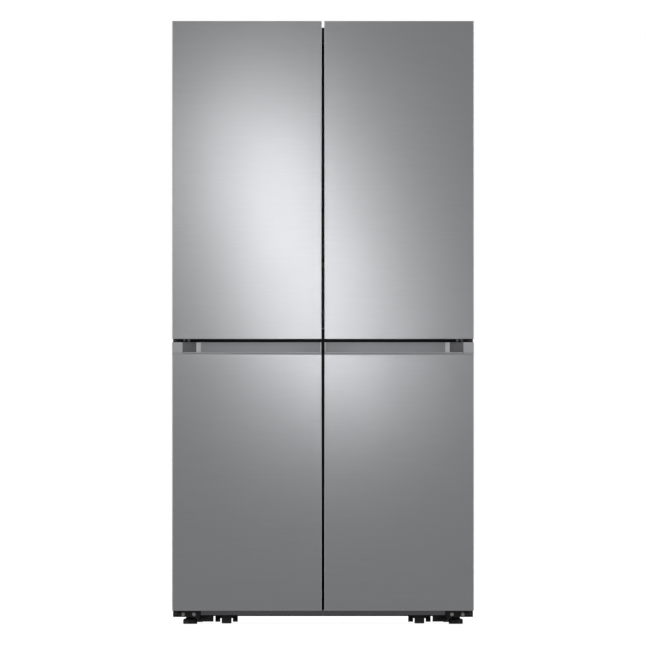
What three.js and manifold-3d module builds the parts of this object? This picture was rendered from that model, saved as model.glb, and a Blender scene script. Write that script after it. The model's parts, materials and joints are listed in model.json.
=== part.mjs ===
// Four-door refrigerator: two French doors over a freezer door and a flexible-zone door.
// Millimetres, +Z up. The origin is on the floor under the middle of the bounding box.
// The doors face -Y, and +X is to the right of a person standing in front of them.

import * as THREE from "three";
import { mergeVertices } from "three/addons/utils/BufferGeometryUtils.js";
import Module from "manifold-3d";

const wasm = await Module();
wasm.setup();

// ---------------------------------------------------------------- driving dimensions

const WIDTH = 912;
const HEIGHT = 1824;
const DEPTH = 723;
const HALF = WIDTH / 2;
const FRONT = -DEPTH / 2;
const BACK = DEPTH / 2;
const FIT = 0.3; // gap kept between two pieces that touch
const SHEET = 1.2; // steel sheet of the doors and the case
const SIDES = { left: -1, right: 1 };

// Doors. A door's u runs from its hinge edge, at the side of the cabinet, to the middle.
const CENTRE_GAP = 7.6;
const DOOR_WIDTH = HALF - CENTRE_GAP / 2;
const DOOR_DEPTH = 98;
const DOOR_BACK = FRONT + DOOR_DEPTH;
const UPPER_DOOR = { bottom: 863, top: HEIGHT };
const LOWER_DOOR = { bottom: 41, top: 853 };
const FLANGE_DEPTH = 75; // how far the steel skin wraps round the door's sides
const SKIN_RADIUS = 4;
const CAP_HEIGHT = 30;
const TOP_CAP_HEIGHT = 48;
const RIM_HEIGHT = 35; // inner rim that the door bins hang on
const RIM_WALL = 12;

// Handle recess between the upper and the lower doors.
const LIP_TOP = 822;
const LIP_RADIUS = 8;
const LIP_DEPTH = 12;
const RECESS_DEPTH = 42;
const RECESS_FLOOR = 797;
const RECESS_START = 31.4; // solid hinge block beside it
const GRIP_TOP = 886; // finger groove in the underside of an upper door
const HANDLE_CAP_BOTTOM = 770;

// Seals.
const SEAL_DEPTH = 15;
const SEAL_WIDTH = 16;
const SEAL_FROM_HINGE_EDGE = 16;
const SEAL_FROM_MIDDLE_EDGE = 8;

// Cabinet.
const CASE_HALF = 454;
const CASE_FRONT = DOOR_BACK + SEAL_DEPTH;
const CASE_TOP = 1805;
const CASE_BOTTOM = 48;
const CASE_RETURN = 414.5; // the case's folded front edges end here
const REAR_SHEET = BACK - SHEET;
const FOAM_BACK = REAR_SHEET - FIT;
const LINER = 2;
const CAVITY_BACK = 296;
const FRIDGE = { half: 412, floor: 895, top: 1757 };
const LOWER = { inner: 32, outer: 394, floor: 112, top: 822, stepBack: 112, stepFront: 290, stepTop: 320 };
const MACHINE = { front: 175, top: 262, cover: 352, coverTop: 296 };

// Base and hinges.
const BASE = { bottom: 25, plate: 44, plateTop: 47, front: -246, beamDepth: 40, back: 358, steel: 3 };
const PIN = { u: 15, y: FRONT + 50, radius: 5 };
const PIN_BORE = 5.6;
const ROLLER = { radius: 20, width: 30, bore: 4.5, axle: 4 };
const ROLLER_LIFT = 0.8; // the front rollers hang just clear of the floor
const FRONT_ROLLER = { x: 292, y: -180, z: ROLLER.radius + ROLLER_LIFT };
const REAR_ROLLER = { x: 380, y: 320, z: ROLLER.radius };
const FORK = { inner: 19, outer: 34, halfLength: 13, foot: 6 };
const FOOT = { x: 402, y: -226, pad: 21.7, stud: 6 };
const SKID = { x: 353, half: 21.5, bottom: 7 };

// Interior fittings.
const SHELF = { half: 408, front: -130, back: 286, thickness: 5, heights: { upper: 1545, middle: 1310 } };
const CRISPER_COVER = 1085;
const TRAY_WALL = 3;
const CRISPER = { front: -100, back: 280, inner: 6, outer: 404, bottom: 900, top: 1072 };
const DRAWER = {
  front: -135,
  inner: 39,
  outer: 387,
  upper: { back: 280, bottom: 345, top: 560 },
  lower: { back: 100, bottom: 118, top: 300 },
};
const BIN = { from: 74, to: 384, depth: 104, height: 118, heights: { upper: 1470, lower: 1170 } };

// Folding centre post on the left French door.
const POST = { x: -34, y: CASE_FRONT + FIT + 11, radius: 11, reach: 64, bottom: 905, top: 1747 };

// Machine compartment.
const COMPRESSOR = { x: 235, y: 264, radius: 72, bottom: 66, top: 226 };
const CONDENSER = { from: -330, to: -130, front: 200, back: 330, bottom: 56, top: 206 };
const FAN = { x: -62, y: 265, z: 140, radius: 66, hub: 20, width: 22, shaft: 4, bore: 4.6 };

// ---------------------------------------------------------------- solids

// A closed three.js geometry as a solid for joining and cutting.
function solid(geometry) {
  const bare = geometry.clone();
  bare.deleteAttribute("normal");
  bare.deleteAttribute("uv");
  const merged = mergeVertices(bare, 1e-4);
  return new wasm.Manifold(
    new wasm.Mesh({
      numProp: 3,
      vertProperties: merged.attributes.position.array,
      triVerts: new Uint32Array(merged.index.array),
    }),
  );
}

function join(first, ...others) {
  return others.reduce((whole, part) => whole.add(part), first);
}

function cut(first, ...others) {
  return others.reduce((whole, part) => whole.subtract(part), first);
}

// A box between two x, two y and two z values, given in either order.
function box(x, y, z) {
  const size = [x, y, z].map(([a, b]) => Math.abs(b - a));
  const middle = [x, y, z].map(([a, b]) => (a + b) / 2);
  return solid(new THREE.BoxGeometry(...size).translate(...middle));
}

// An outline extruded between two places along an axis. Its points are (y, z) for X,
// (x, z) for Y and (x, y) for Z.
function prism(axis, points, [from, to]) {
  const outline = new THREE.Shape(points.map(([a, b]) => new THREE.Vector2(a, b)));
  const geometry = new THREE.ExtrudeGeometry(outline, { depth: Math.abs(to - from), bevelEnabled: false });
  const low = Math.min(from, to);
  const high = Math.max(from, to);
  const basis = new THREE.Matrix4();
  if (axis === "X") {
    basis.makeBasis(new THREE.Vector3(0, 1, 0), new THREE.Vector3(0, 0, 1), new THREE.Vector3(1, 0, 0));
    basis.setPosition(low, 0, 0);
  } else if (axis === "Y") {
    basis.makeBasis(new THREE.Vector3(1, 0, 0), new THREE.Vector3(0, 0, 1), new THREE.Vector3(0, -1, 0));
    basis.setPosition(0, high, 0);
  } else {
    basis.setPosition(0, 0, low);
  }
  return solid(geometry.applyMatrix4(basis));
}

// A round bar between two places along an axis, through the other two coordinates in x, y, z order.
function rod(axis, [a, b], radius, [from, to], segments = 16) {
  const geometry = new THREE.CylinderGeometry(radius, radius, to - from, segments);
  const middle = (from + to) / 2;
  if (axis === "X") geometry.rotateZ(Math.PI / 2).translate(middle, a, b);
  if (axis === "Y") geometry.translate(a, middle, b);
  if (axis === "Z") geometry.rotateX(Math.PI / 2).translate(a, b, middle);
  return solid(geometry);
}

// A turned solid about the Z axis through (x, y). The profile holds (radius, height) points.
function turned(profile, x, y, segments = 24) {
  const points = profile.map(([r, h]) => new THREE.Vector2(r, h));
  return solid(new THREE.LatheGeometry(points, segments).rotateX(Math.PI / 2).translate(x, y, 0));
}

// Points on an arc, angles in degrees.
function arc(x, y, radius, from, to, steps) {
  return Array.from({ length: steps + 1 }, (_, i) => {
    const angle = THREE.MathUtils.degToRad(from + ((to - from) * i) / steps);
    return [x + radius * Math.cos(angle), y + radius * Math.sin(angle)];
  });
}

// A tray with an open top: outer box less its inside.
function tray([x0, x1], [y0, y1], [z0, z1], wall = TRAY_WALL) {
  const inside = box([x0 + wall, x1 - wall], [y0 + wall, y1 - wall], [z0 + wall, z1 + wall]);
  return cut(box([x0, x1], [y0, y1], [z0, z1]), inside);
}

// x of a door coordinate u, which counts from the hinge edge towards the middle.
const doorX = (side, u) => side * (HALF - u);
const doorSpan = (side, from, to) => [doorX(side, from), doorX(side, to)];

// ---------------------------------------------------------------- materials

const paint = (color, roughness, metalness) =>
  new THREE.MeshStandardMaterial({ color, roughness, metalness });
const STEEL = paint(0x9b9ca0, 0.34, 1.0);
const CASE_PAINT = paint(0x6d6e71, 0.45, 0.3);
const HANDLE_GREY = paint(0x7b7c80, 0.4, 0.4);
const CAP_GREY = paint(0x55565a, 0.55, 0.0);
const LINER_WHITE = paint(0xf1f2f2, 0.35, 0.0);
const SEAL_GREY = paint(0x8b8c8e, 0.7, 0.0);
const FOAM = paint(0xe6dcb4, 0.9, 0.0);
const BLACK_STEEL = paint(0x2b2b2d, 0.5, 0.6);
const BLACK_PLASTIC = paint(0x1a1a1b, 0.55, 0.0);
const clear = (color, roughness, opacity) =>
  new THREE.MeshStandardMaterial({ color, roughness, opacity, transparent: true });
const GLASS = clear(0xdfeeee, 0.05, 0.4);
const CLEAR_PLASTIC = clear(0xeef4f6, 0.15, 0.5);
const GALVANISED = paint(0xa8aaac, 0.4, 0.9);
const COPPER = paint(0xb06a42, 0.3, 1.0);

// A named mesh of a solid. Vertices may be given about a place of their own, where the mesh then sits.
function mesh(name, body, material, place = [0, 0, 0]) {
  const { numProp, numVert, vertProperties, triVerts } = body.getMesh();
  const positions = new Float32Array(numVert * 3);
  for (let i = 0; i < numVert; i++) {
    positions.set(vertProperties.subarray(i * numProp, i * numProp + 3), i * 3);
  }
  const indexed = new THREE.BufferGeometry();
  indexed.setAttribute("position", new THREE.BufferAttribute(positions, 3));
  indexed.setIndex(new THREE.BufferAttribute(triVerts, 1));
  const geometry = indexed.toNonIndexed();
  geometry.computeVertexNormals();
  const made = new THREE.Mesh(geometry, material);
  made.name = name;
  made.position.set(...place);
  return made;
}

// ---------------------------------------------------------------- cabinet

// Painted sheet over the top and both sides, its front edges folded in for the seals to grip.
function outerCase() {
  const depth = [CASE_FRONT, FOAM_BACK];
  const sheetFront = [CASE_FRONT, CASE_FRONT + SHEET];
  const side = (s) => box([s * CASE_HALF, s * (CASE_HALF - SHEET)], depth, [CASE_BOTTOM, CASE_TOP]);
  const fold = (s) => box([s * CASE_HALF, s * CASE_RETURN], sheetFront, [CASE_BOTTOM, CASE_TOP]);
  const top = box([-CASE_HALF, CASE_HALF], depth, [CASE_TOP - SHEET, CASE_TOP]);
  const topFold = box([-CASE_HALF, CASE_HALF], sheetFront, [FRIDGE.top + LINER + FIT, CASE_TOP]);
  return join(side(-1), side(1), fold(-1), fold(1), top, topFold);
}

function rearPanel() {
  const half = CASE_HALF - SHEET;
  return box([-half, half], [REAR_SHEET, BACK], [MACHINE.coverTop + 4, CASE_TOP - SHEET]);
}

// Side outline of a lower compartment, which steps up over the machine compartment. grow moves it outwards.
function lowerOutline(grow) {
  return [
    [CASE_FRONT - 1 + Math.sign(grow), LOWER.floor - grow],
    [LOWER.stepBack + grow, LOWER.floor - grow],
    [LOWER.stepBack + grow, LOWER.stepFront - grow / 2],
    [LOWER.stepBack + 40 + grow / 2, LOWER.stepTop - grow],
    [CAVITY_BACK + grow, LOWER.stepTop - grow],
    [CAVITY_BACK + grow, LOWER.top + grow],
    [CASE_FRONT - 1 + Math.sign(grow), LOWER.top + grow],
  ];
}

// Runners on a compartment's floor that carry a drawer, at the quarter points of its width.
function floorRunners([x0, x1], depth, [floor, top]) {
  return [0.15, 0.85].map((share) => {
    const x = x0 + share * (x1 - x0);
    return box([x - 9, x + 9], depth, [floor - 1, top - FIT]);
  });
}

// The fresh food compartment's white shell, with ledges for the shelves and runners for the crispers.
function fridgeLiner() {
  const { half, floor, top } = FRIDGE;
  const outside = half + LINER;
  const depth = [CASE_FRONT, CAVITY_BACK + LINER];
  const shell = box([-outside, outside], depth, [floor - LINER, top + LINER]);
  const hollow = box([-half, half], [CASE_FRONT - 1, CAVITY_BACK], [floor, top]);
  const ledges = [...Object.values(SHELF.heights), CRISPER_COVER].flatMap((height) => {
    const ledgeHeight = [height - FIT - 10, height - FIT];
    return [-1, 1].map((s) =>
      box([s * (half + 1), s * (SHELF.half - 8)], [SHELF.front, CAVITY_BACK], ledgeHeight),
    );
  });
  const runners = [-1, 1].flatMap((s) =>
    floorRunners([s * CRISPER.inner, s * CRISPER.outer], [CRISPER.front, CAVITY_BACK], [floor, CRISPER.bottom]),
  );
  return join(cut(shell, hollow), ...ledges, ...runners);
}

// A lower compartment's white shell, with drawer rails and a flange that laps the case's folded edge.
function lowerLiner(side) {
  const { inner, outer, floor, top } = LOWER;
  const shell = prism("X", lowerOutline(LINER), [side * (inner - LINER), side * (outer + LINER)]);
  const hollow = prism("X", lowerOutline(0), [side * inner, side * outer]);
  const flange = box(
    [side * outer, side * (CASE_RETURN - FIT)],
    [CASE_FRONT, CASE_FRONT + LINER],
    [floor - LINER, top + LINER],
  );
  const railHeight = [DRAWER.upper.bottom - FIT - 12, DRAWER.upper.bottom - FIT];
  const rails = [
    box([side * (inner - 1), side * (inner + 14)], [DRAWER.front, CAVITY_BACK + 1], railHeight),
    box([side * (outer + 1), side * (outer - 14)], [DRAWER.front, CAVITY_BACK + 1], railHeight),
  ];
  const lower = DRAWER.lower;
  const runners = floorRunners(
    [side * DRAWER.inner, side * DRAWER.outer],
    [DRAWER.front, lower.back],
    [floor, lower.bottom],
  );
  return join(cut(join(shell, flange), hollow), ...rails, ...runners);
}

// Rigid foam between the case and the liners.
function cabinetFoam() {
  const gap = LINER + FIT;
  const half = CASE_HALF - SHEET - FIT;
  const block = box([-half, half], [CASE_FRONT + 7, FOAM_BACK], [CASE_BOTTOM + FIT, CASE_TOP - SHEET - FIT]);
  const fridge = box(
    [-FRIDGE.half - gap, FRIDGE.half + gap],
    [CASE_FRONT, CAVITY_BACK + gap],
    [FRIDGE.floor - gap, FRIDGE.top + gap],
  );
  const lower = Object.values(SIDES).map((s) =>
    prism("X", lowerOutline(gap), [s * (LOWER.inner - gap), s * (LOWER.outer + gap)]),
  );
  const machineRoom = box([-half - 5, half + 5], [MACHINE.front, BACK], [0, MACHINE.top]);
  const coverSeat = box([-half - 5, half + 5], [MACHINE.cover - FIT, BACK], [0, MACHINE.coverTop + 1]);
  return cut(block, fridge, ...lower, machineRoom, coverSeat);
}

// Steel frame behind the gaps between the doors: the rail, the post between the lower doors and the sill.
function frontCrossmember() {
  const depth = [CASE_FRONT, CASE_FRONT + 6];
  const half = CASE_RETURN - FIT;
  const gap = LINER + FIT;
  const rail = box([-half, half], depth, [LOWER.top + gap, FRIDGE.floor - gap]);
  const post = box([gap - LOWER.inner, LOWER.inner - gap], depth, [CASE_BOTTOM + FIT, LOWER.top + gap]);
  const sill = box([-half, half], depth, [CASE_BOTTOM + FIT, LOWER.floor - gap]);
  return join(rail, post, sill);
}

// Black pan under the cabinet, with its front beam, skids, and forks that carry the rollers on fixed axles.
function baseFrame() {
  const { bottom, plate, plateTop, front, beamDepth, back, steel } = BASE;
  const width = [-CASE_HALF, CASE_HALF];
  const pan = box(width, [front, back], [plate, plateTop]);
  const frontBeam = box(width, [front, front + steel], [bottom, plate]);
  const frontFlange = box(width, [front, front + beamDepth], [bottom, bottom + steel]);
  const rearBeam = box(width, [back - steel, back], [bottom, plate]);
  const skids = [-1, 1].map((s) =>
    box([s * (SKID.x - SKID.half), s * (SKID.x + SKID.half)], [front + 4, front + 30], [SKID.bottom, bottom]),
  );
  const forks = [-1, 1].flatMap((s) => [
    fork(s * FRONT_ROLLER.x, FRONT_ROLLER.y, FRONT_ROLLER.z),
    fork(s * REAR_ROLLER.x, REAR_ROLLER.y, REAR_ROLLER.z),
  ]);
  const studHoles = [-1, 1].map((s) => rod("Z", [s * FOOT.x, FOOT.y], FOOT.stud + 0.6, [bottom - 1, plate]));
  return cut(join(pan, frontBeam, frontFlange, rearBeam, ...skids, ...forks), ...studHoles);
}

function fork(x, y, axleHeight) {
  const length = [y - FORK.halfLength, y + FORK.halfLength];
  const legs = [-1, 1].map((s) =>
    box([x + s * FORK.inner, x + s * FORK.outer], length, [FORK.foot, BASE.plate]),
  );
  return join(...legs, rod("X", [y, axleHeight], ROLLER.axle, [x - FORK.outer, x + FORK.outer]));
}

// A roller about its own axle, ready to be placed on a fork.
function roller() {
  const { radius, width, bore } = ROLLER;
  const profile = [
    [bore, -width / 2],
    [radius - 2, -width / 2],
    [radius, -width / 2 + 2],
    [radius, width / 2 - 2],
    [radius - 2, width / 2],
    [bore, width / 2],
    [bore, -width / 2],
  ];
  const points = profile.map(([r, h]) => new THREE.Vector2(r, h));
  return solid(new THREE.LatheGeometry(points, 24).rotateZ(Math.PI / 2));
}

// A levelling foot: pad, cone and threaded stud, screwed into the front beam.
function levellingFoot() {
  const { pad, stud } = FOOT;
  const profile = [
    [0, 0],
    [pad - 2, 0],
    [pad, 2],
    [pad, 10],
    [pad - 4, 15],
    [13, 20],
    [13, BASE.bottom - FIT],
    [stud, BASE.bottom - FIT],
    [stud, BASE.plate - 2],
    [0, BASE.plate - 2],
  ];
  return turned(profile, 0, 0);
}

// ---------------------------------------------------------------- machine compartment

function machineCover() {
  const half = CASE_HALF - SHEET - FIT;
  const height = [BASE.plateTop + FIT, MACHINE.coverTop];
  const plate = box([-half, half], [MACHINE.cover, MACHINE.cover + 2], height);
  const columns = 10;
  const slots = [];
  for (let row = 0; row < 3; row++) {
    for (let column = 0; column < columns; column++) {
      const x = -340 + (column * 680) / (columns - 1);
      slots.push(box([x - 26, x + 26], [350, 356], [130 + row * 40, 142 + row * 40]));
    }
  }
  const cordGland = rod("Y", [-410, 90], 11, [353, 361]);
  const waterInlet = rod("Y", [410, 90], 9, [353, 361]);
  return join(cut(plate, ...slots), cordGland, waterInlet);
}

// Sealed compressor: a domed pot on a foot plate with four rubber mounts.
function compressor() {
  const { x, y, radius, bottom, top } = COMPRESSOR;
  const profile = [
    [0, bottom],
    [radius * 0.8, bottom],
    [radius, bottom + 22],
    [radius, top - 44],
    [radius * 0.95, top - 24],
    [radius * 0.7, top - 8],
    [0, top],
  ];
  const pot = turned(profile, x, y);
  const plate = box([x - 98, x + 98], [y - 60, y + 60], [bottom - 4, bottom + 2]);
  const mounts = [-1, 1].flatMap((sx) =>
    [-1, 1].map((sy) => rod("Z", [x + sx * 84, y + sy * 48], 11, [BASE.plateTop + FIT, bottom - 3], 12)),
  );
  return join(pot, plate, ...mounts);
}

// Finned coil with the fan motor and its shaft on the end.
function condenser() {
  const { from, to, front, back, bottom, top } = CONDENSER;
  const fins = 8;
  const pitch = (to - from) / fins;
  const plates = Array.from({ length: fins }, (_, i) =>
    box([from + i * pitch, from + i * pitch + 4], [front, back], [bottom, top]),
  );
  const tubes = [];
  for (let row = 0; row < 3; row++) {
    for (const y of [front + 35, back - 35]) {
      tubes.push(rod("X", [y, bottom + 30 + row * 45], 6, [from - 6, to - pitch + 10], 8));
    }
  }
  const floor = BASE.plateTop + FIT;
  const strut = box([to - pitch, FAN.x - 40], [FAN.y - 6, FAN.y + 6], [floor, floor + 8]);
  const upright = box([FAN.x - 52, FAN.x - 40], [FAN.y - 12, FAN.y + 12], [floor, FAN.z + 18]);
  const motor = rod("X", [FAN.y, FAN.z], 26, [FAN.x - 58, FAN.x - 16], 20);
  const shaft = rod("X", [FAN.y, FAN.z], FAN.shaft, [FAN.x - 30, FAN.x + 10]);
  const tie = box([to - pitch, to - pitch + 4], [front, back], [floor, bottom + 2]);
  return join(...plates, ...tubes, tie, strut, upright, motor, shaft);
}

// Five-bladed fan about its own shaft.
function condenserFan() {
  const { radius, hub, width, bore } = FAN;
  const blades = Array.from({ length: 5 }, (_, i) => {
    const blade = new THREE.BoxGeometry(3, 44, radius - hub + 4);
    blade.rotateZ(THREE.MathUtils.degToRad(28));
    blade.translate(0, 0, (radius + hub - 4) / 2);
    blade.rotateX((i * 2 * Math.PI) / 5);
    return solid(blade);
  });
  const whole = join(rod("X", [0, 0], hub, [-width / 2, width / 2], 20), ...blades);
  return cut(whole, rod("X", [0, 0], bore, [-width, width]));
}

// ---------------------------------------------------------------- hinges

// Top hinge: a plate on the case that reaches over the door, its pin pointing down.
function topHinge(side) {
  const x = doorX(side, PIN.u);
  const height = [CASE_TOP + FIT, CASE_TOP + 5 + FIT];
  const plate = box([side * 452, side * 404], [CASE_FRONT + 4, CASE_FRONT + 104], height);
  const arm = box([x - 11, x + 11], [PIN.y, CASE_FRONT + 5], height);
  const eye = rod("Z", [x, PIN.y], 11, height, 20);
  const pin = rod("Z", [x, PIN.y], PIN.radius, [CASE_TOP - 24, CASE_TOP + 4]);
  return join(plate, arm, eye, pin);
}

// Plastic cover over the top hinge plate, open below and towards the door.
function topHingeCover(side) {
  const outline = [
    [CASE_FRONT, CASE_TOP + FIT],
    [CASE_FRONT, CASE_TOP + 14],
    [CASE_FRONT + 4, CASE_TOP + 18],
    [CASE_FRONT + 96, CASE_TOP + 18],
    [CASE_FRONT + 112, CASE_TOP + 8],
    [CASE_FRONT + 112, CASE_TOP + FIT],
  ];
  const shell = prism("X", outline, [side * 453.5, side * 396]);
  const room = box([side * 452.5, side * 402], [CASE_FRONT - 1, CASE_FRONT + 106], [CASE_TOP, CASE_TOP + 7]);
  return cut(shell, room);
}

// Middle hinge: bolted to the rail between the compartments, with a pin up into the
// upper door and a pin down into the lower one.
function middleHinge(side) {
  const x = doorX(side, PIN.u);
  const face = CASE_FRONT - FIT;
  const height = [855.5, 860.5];
  const flange = box([side * 453, side * 398], [face - 4, face], [843.5, 872.5]);
  const arm = box([x - 12, x + 12], [PIN.y, face - 3], height);
  const eye = rod("Z", [x, PIN.y], 12, height, 20);
  const pin = rod("Z", [x, PIN.y], PIN.radius, [836, 880]);
  return join(flange, arm, eye, pin);
}

// Bottom hinge: a plate on the front beam with an arm and a pin under the lower door.
function bottomHinge(side) {
  const x = doorX(side, PIN.u);
  const face = BASE.front - FIT;
  const plate = box([side * 454, side * 371], [face - 3, face], [21, 43]);
  const arm = box([x - 13, x + 13], [PIN.y, face - 2], [29, 34]);
  const eye = rod("Z", [x, PIN.y], 13, [29, 34], 20);
  const pin = rod("Z", [x, PIN.y], PIN.radius, [32, 62]);
  return join(plate, arm, eye, pin);
}

// ---------------------------------------------------------------- doors

// Plan of a door's steel skin with rounded front corners, inset by the sheet's thickness or by nothing.
function skinPlan(side, inset, depth) {
  const near = inset;
  const far = DOOR_WIDTH - inset;
  const radius = SKIN_RADIUS - inset;
  const front = FRONT + inset;
  const points = [
    [near, FRONT + depth],
    ...arc(near + radius, front + radius, radius, 180, 270, 3),
    ...arc(far - radius, front + radius, radius, 270, 360, 3),
    [far, FRONT + depth],
  ];
  return points.map(([u, y]) => [doorX(side, u), y]);
}

// Room for the top hinge's arm, which turns towards the door's side as the door opens.
function hingeNotch(side) {
  return box(doorSpan(side, -1, 45), [PIN.y - 27, DOOR_BACK + 1], [CASE_TOP - 2, HEIGHT + 1]);
}

function upperSkin(side) {
  const height = [UPPER_DOOR.bottom, UPPER_DOOR.top];
  const outer = prism("Z", skinPlan(side, 0, FLANGE_DEPTH), height);
  const inner = prism("Z", skinPlan(side, SHEET, FLANGE_DEPTH + 1), [height[0] - 1, height[1] + 1]);
  return cut(outer, inner, hingeNotch(side));
}

// Side outline of a lower door's skin: its top edge rolls back over the handle recess.
function lipOutline(inset) {
  const radius = LIP_RADIUS - inset;
  const top = LIP_TOP - inset;
  return [
    [FRONT + inset, LOWER_DOOR.bottom - inset],
    ...arc(FRONT + inset + radius, top - radius, radius, 180, 90, 5),
    [FRONT + FLANGE_DEPTH + inset, top],
    [FRONT + FLANGE_DEPTH + inset, LOWER_DOOR.bottom - inset],
  ];
}

function lowerSkin(side) {
  const span = doorSpan(side, 0, DOOR_WIDTH);
  const height = [LOWER_DOOR.bottom - 2, LIP_TOP + 1];
  const around = prism("Z", skinPlan(side, 0, FLANGE_DEPTH), height);
  const within = prism("Z", skinPlan(side, SHEET, FLANGE_DEPTH + 1), height);
  const outer = around.intersect(prism("X", lipOutline(0), span));
  const inner = within.intersect(prism("X", lipOutline(SHEET), span));
  const openSpan = doorSpan(side, SHEET, DOOR_WIDTH - SHEET);
  const openTop = box(openSpan, [FRONT + LIP_RADIUS + 1, DOOR_BACK], [LIP_TOP - 20, LIP_TOP + 2]);
  return cut(outer, inner, openTop);
}

// Plan of the handle recess: square at the hinge block, then a ramp that sweeps into the flat back.
function recessPlan(side, front) {
  const back = FRONT + RECESS_DEPTH;
  const sweep = new THREE.QuadraticBezierCurve(
    new THREE.Vector2(RECESS_START + 34, back - 8),
    new THREE.Vector2(RECESS_START + 46, back),
    new THREE.Vector2(RECESS_START + 66, back),
  );
  const points = [
    [RECESS_START, front],
    [RECESS_START, FRONT + LIP_DEPTH + 1],
    ...sweep.getPoints(5).map((p) => [p.x, p.y]),
    [DOOR_WIDTH - SHEET - FIT - 3, back],
    [DOOR_WIDTH - SHEET - FIT - 3, front],
  ];
  return points.map(([u, y]) => [doorX(side, u), y]);
}

const capSpan = (side) => doorSpan(side, SHEET + FIT, DOOR_WIDTH - SHEET - FIT);
const capDepth = [FRONT + SHEET + FIT, DOOR_BACK];
const pinBore = (side, height) => rod("Z", [doorX(side, PIN.u), PIN.y], PIN_BORE, height);

// Corners of a plastic cap follow the rounded skin.
function capBlock(side, height) {
  const block = box(capSpan(side), capDepth, height);
  const rounded = prism("Z", skinPlan(side, SHEET + FIT, DOOR_DEPTH + 2), [height[0] - 1, height[1] + 1]);
  return block.intersect(rounded);
}

function upperTopCap(side) {
  const block = capBlock(side, [HEIGHT - TOP_CAP_HEIGHT, HEIGHT]);
  return cut(block, hingeNotch(side), pinBore(side, [CASE_TOP - 30, HEIGHT]));
}

function upperBottomCap(side) {
  const bottom = UPPER_DOOR.bottom;
  const block = capBlock(side, [bottom, bottom + CAP_HEIGHT]);
  const groove = prism("Z", recessPlan(side, FRONT + LIP_DEPTH), [bottom - 1, GRIP_TOP]);
  return cut(block, groove, pinBore(side, [bottom - 1, 882]));
}

// Handle cap on a lower door: hinge block flush with the steel, then the finger recess.
function lowerTopCap(side) {
  const above = LOWER_DOOR.top + 1;
  const shoulder = LIP_TOP - LIP_RADIUS;
  const behindSkin = capBlock(side, [HANDLE_CAP_BOTTOM, shoulder - 2]);
  const neck = box(capSpan(side), [FRONT + LIP_RADIUS + 2, DOOR_BACK], [shoulder - 4, LIP_TOP + 2]);
  const head = prism("Z", skinPlan(side, 0, DOOR_DEPTH), [LIP_TOP + FIT, LOWER_DOOR.top]);
  const pocket = prism("Z", recessPlan(side, FRONT + LIP_DEPTH), [RECESS_FLOOR, above]);
  const mouth = prism("Z", recessPlan(side, FRONT - 1), [LIP_TOP - 1.5, above]);
  return cut(join(behindSkin, neck, head), pocket, mouth, pinBore(side, [833, above]));
}

function lowerBottomCap(side) {
  const bottom = LOWER_DOOR.bottom;
  return cut(capBlock(side, [bottom, bottom + CAP_HEIGHT]), pinBore(side, [bottom - 1, 64]));
}

// Foamed inner door: fills the skin between the caps, with a raised rim at its back.
function doorLiner(side, height, rim) {
  const [bottom, top] = height;
  const fill = capBlock(side, [bottom + FIT, top - FIT]);
  const rimDepth = [DOOR_BACK - 1, DOOR_BACK + RIM_HEIGHT];
  const outer = box(doorSpan(side, rim.from, rim.to), rimDepth, rim.height);
  const inner = box(
    doorSpan(side, rim.from + RIM_WALL, rim.to - RIM_WALL),
    [DOOR_BACK, DOOR_BACK + RIM_HEIGHT + 1],
    [rim.height[0] + RIM_WALL, rim.height[1] - RIM_WALL],
  );
  return join(fill, cut(outer, inner));
}

const upperRim = { from: 60, to: 398, height: [915, 1737] };
const lowerRim = { from: 78, to: 408, height: [132, 765] };
const upperFill = [UPPER_DOOR.bottom + CAP_HEIGHT, HEIGHT - TOP_CAP_HEIGHT];
const lowerFill = [LOWER_DOOR.bottom + CAP_HEIGHT, HANDLE_CAP_BOTTOM];

// The left French door also carries the brackets and pins that the folding post turns on.
function leftLinerWithPostBrackets() {
  const brackets = [POST.bottom - 6, POST.top + 1].map((z) =>
    box([POST.x - 10, POST.x + 5], [DOOR_BACK - 1, POST.y + 8], [z, z + 5]),
  );
  const pins = [
    [POST.bottom - 4, POST.bottom + 8],
    [POST.top - 8, POST.top + 4],
  ].map((height) => rod("Z", [POST.x, POST.y], 3, height, 12));
  return join(doorLiner(-1, upperFill, upperRim), ...brackets, ...pins);
}

// Magnetic seal: a closed frame on the back of a door.
function doorSeal(side, [bottom, top]) {
  const from = SEAL_FROM_HINGE_EDGE;
  const to = DOOR_WIDTH - SEAL_FROM_MIDDLE_EDGE;
  const depth = [DOOR_BACK + FIT, CASE_FRONT - FIT];
  const outer = box(doorSpan(side, from, to), depth, [bottom, top]);
  const inner = box(
    doorSpan(side, from + SEAL_WIDTH, to - SEAL_WIDTH),
    [depth[0] - 1, depth[1] + 1],
    [bottom + SEAL_WIDTH, top - SEAL_WIDTH],
  );
  return cut(outer, inner);
}

// Folding post about its own hinge line, drawn folded back into the compartment.
function foldingPost() {
  const { radius, reach, bottom, top } = POST;
  const plan = [...arc(0, 0, radius, 180, 360, 8), [radius, reach], [-radius, reach]];
  const bar = prism("Z", plan, [bottom, top]);
  const bores = [
    [bottom - 1, bottom + 10],
    [top - 10, top + 1],
  ].map((height) => rod("Z", [0, 0], 3.5, height, 12));
  return cut(bar, ...bores);
}

// ---------------------------------------------------------------- shelves, drawers and bins

// A glass shelf with a nose along its front and a raised stop along its back.
function shelf() {
  const { half, front, back, thickness } = SHELF;
  const sheet = box([-half, half], [front, back], [0, thickness]);
  const nose = box([-half, half], [front, front + 12], [0, 12]);
  const stop = box([-half, half], [back - 6, back], [thickness - 1, 20]);
  return join(sheet, nose, stop);
}

// A drawer drawn about the middle of its width, with a thick front that overhangs as a finger pull.
function drawer(width, [front, back], height) {
  const body = tray([-width / 2, width / 2], [front, back], [0, height]);
  const face = box([-width / 2, width / 2], [front, front + 7], [0, height]);
  const pull = box([-width / 2 + 40, width / 2 - 40], [front, front + 16], [height - 5, height]);
  return join(body, face, pull);
}

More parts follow.
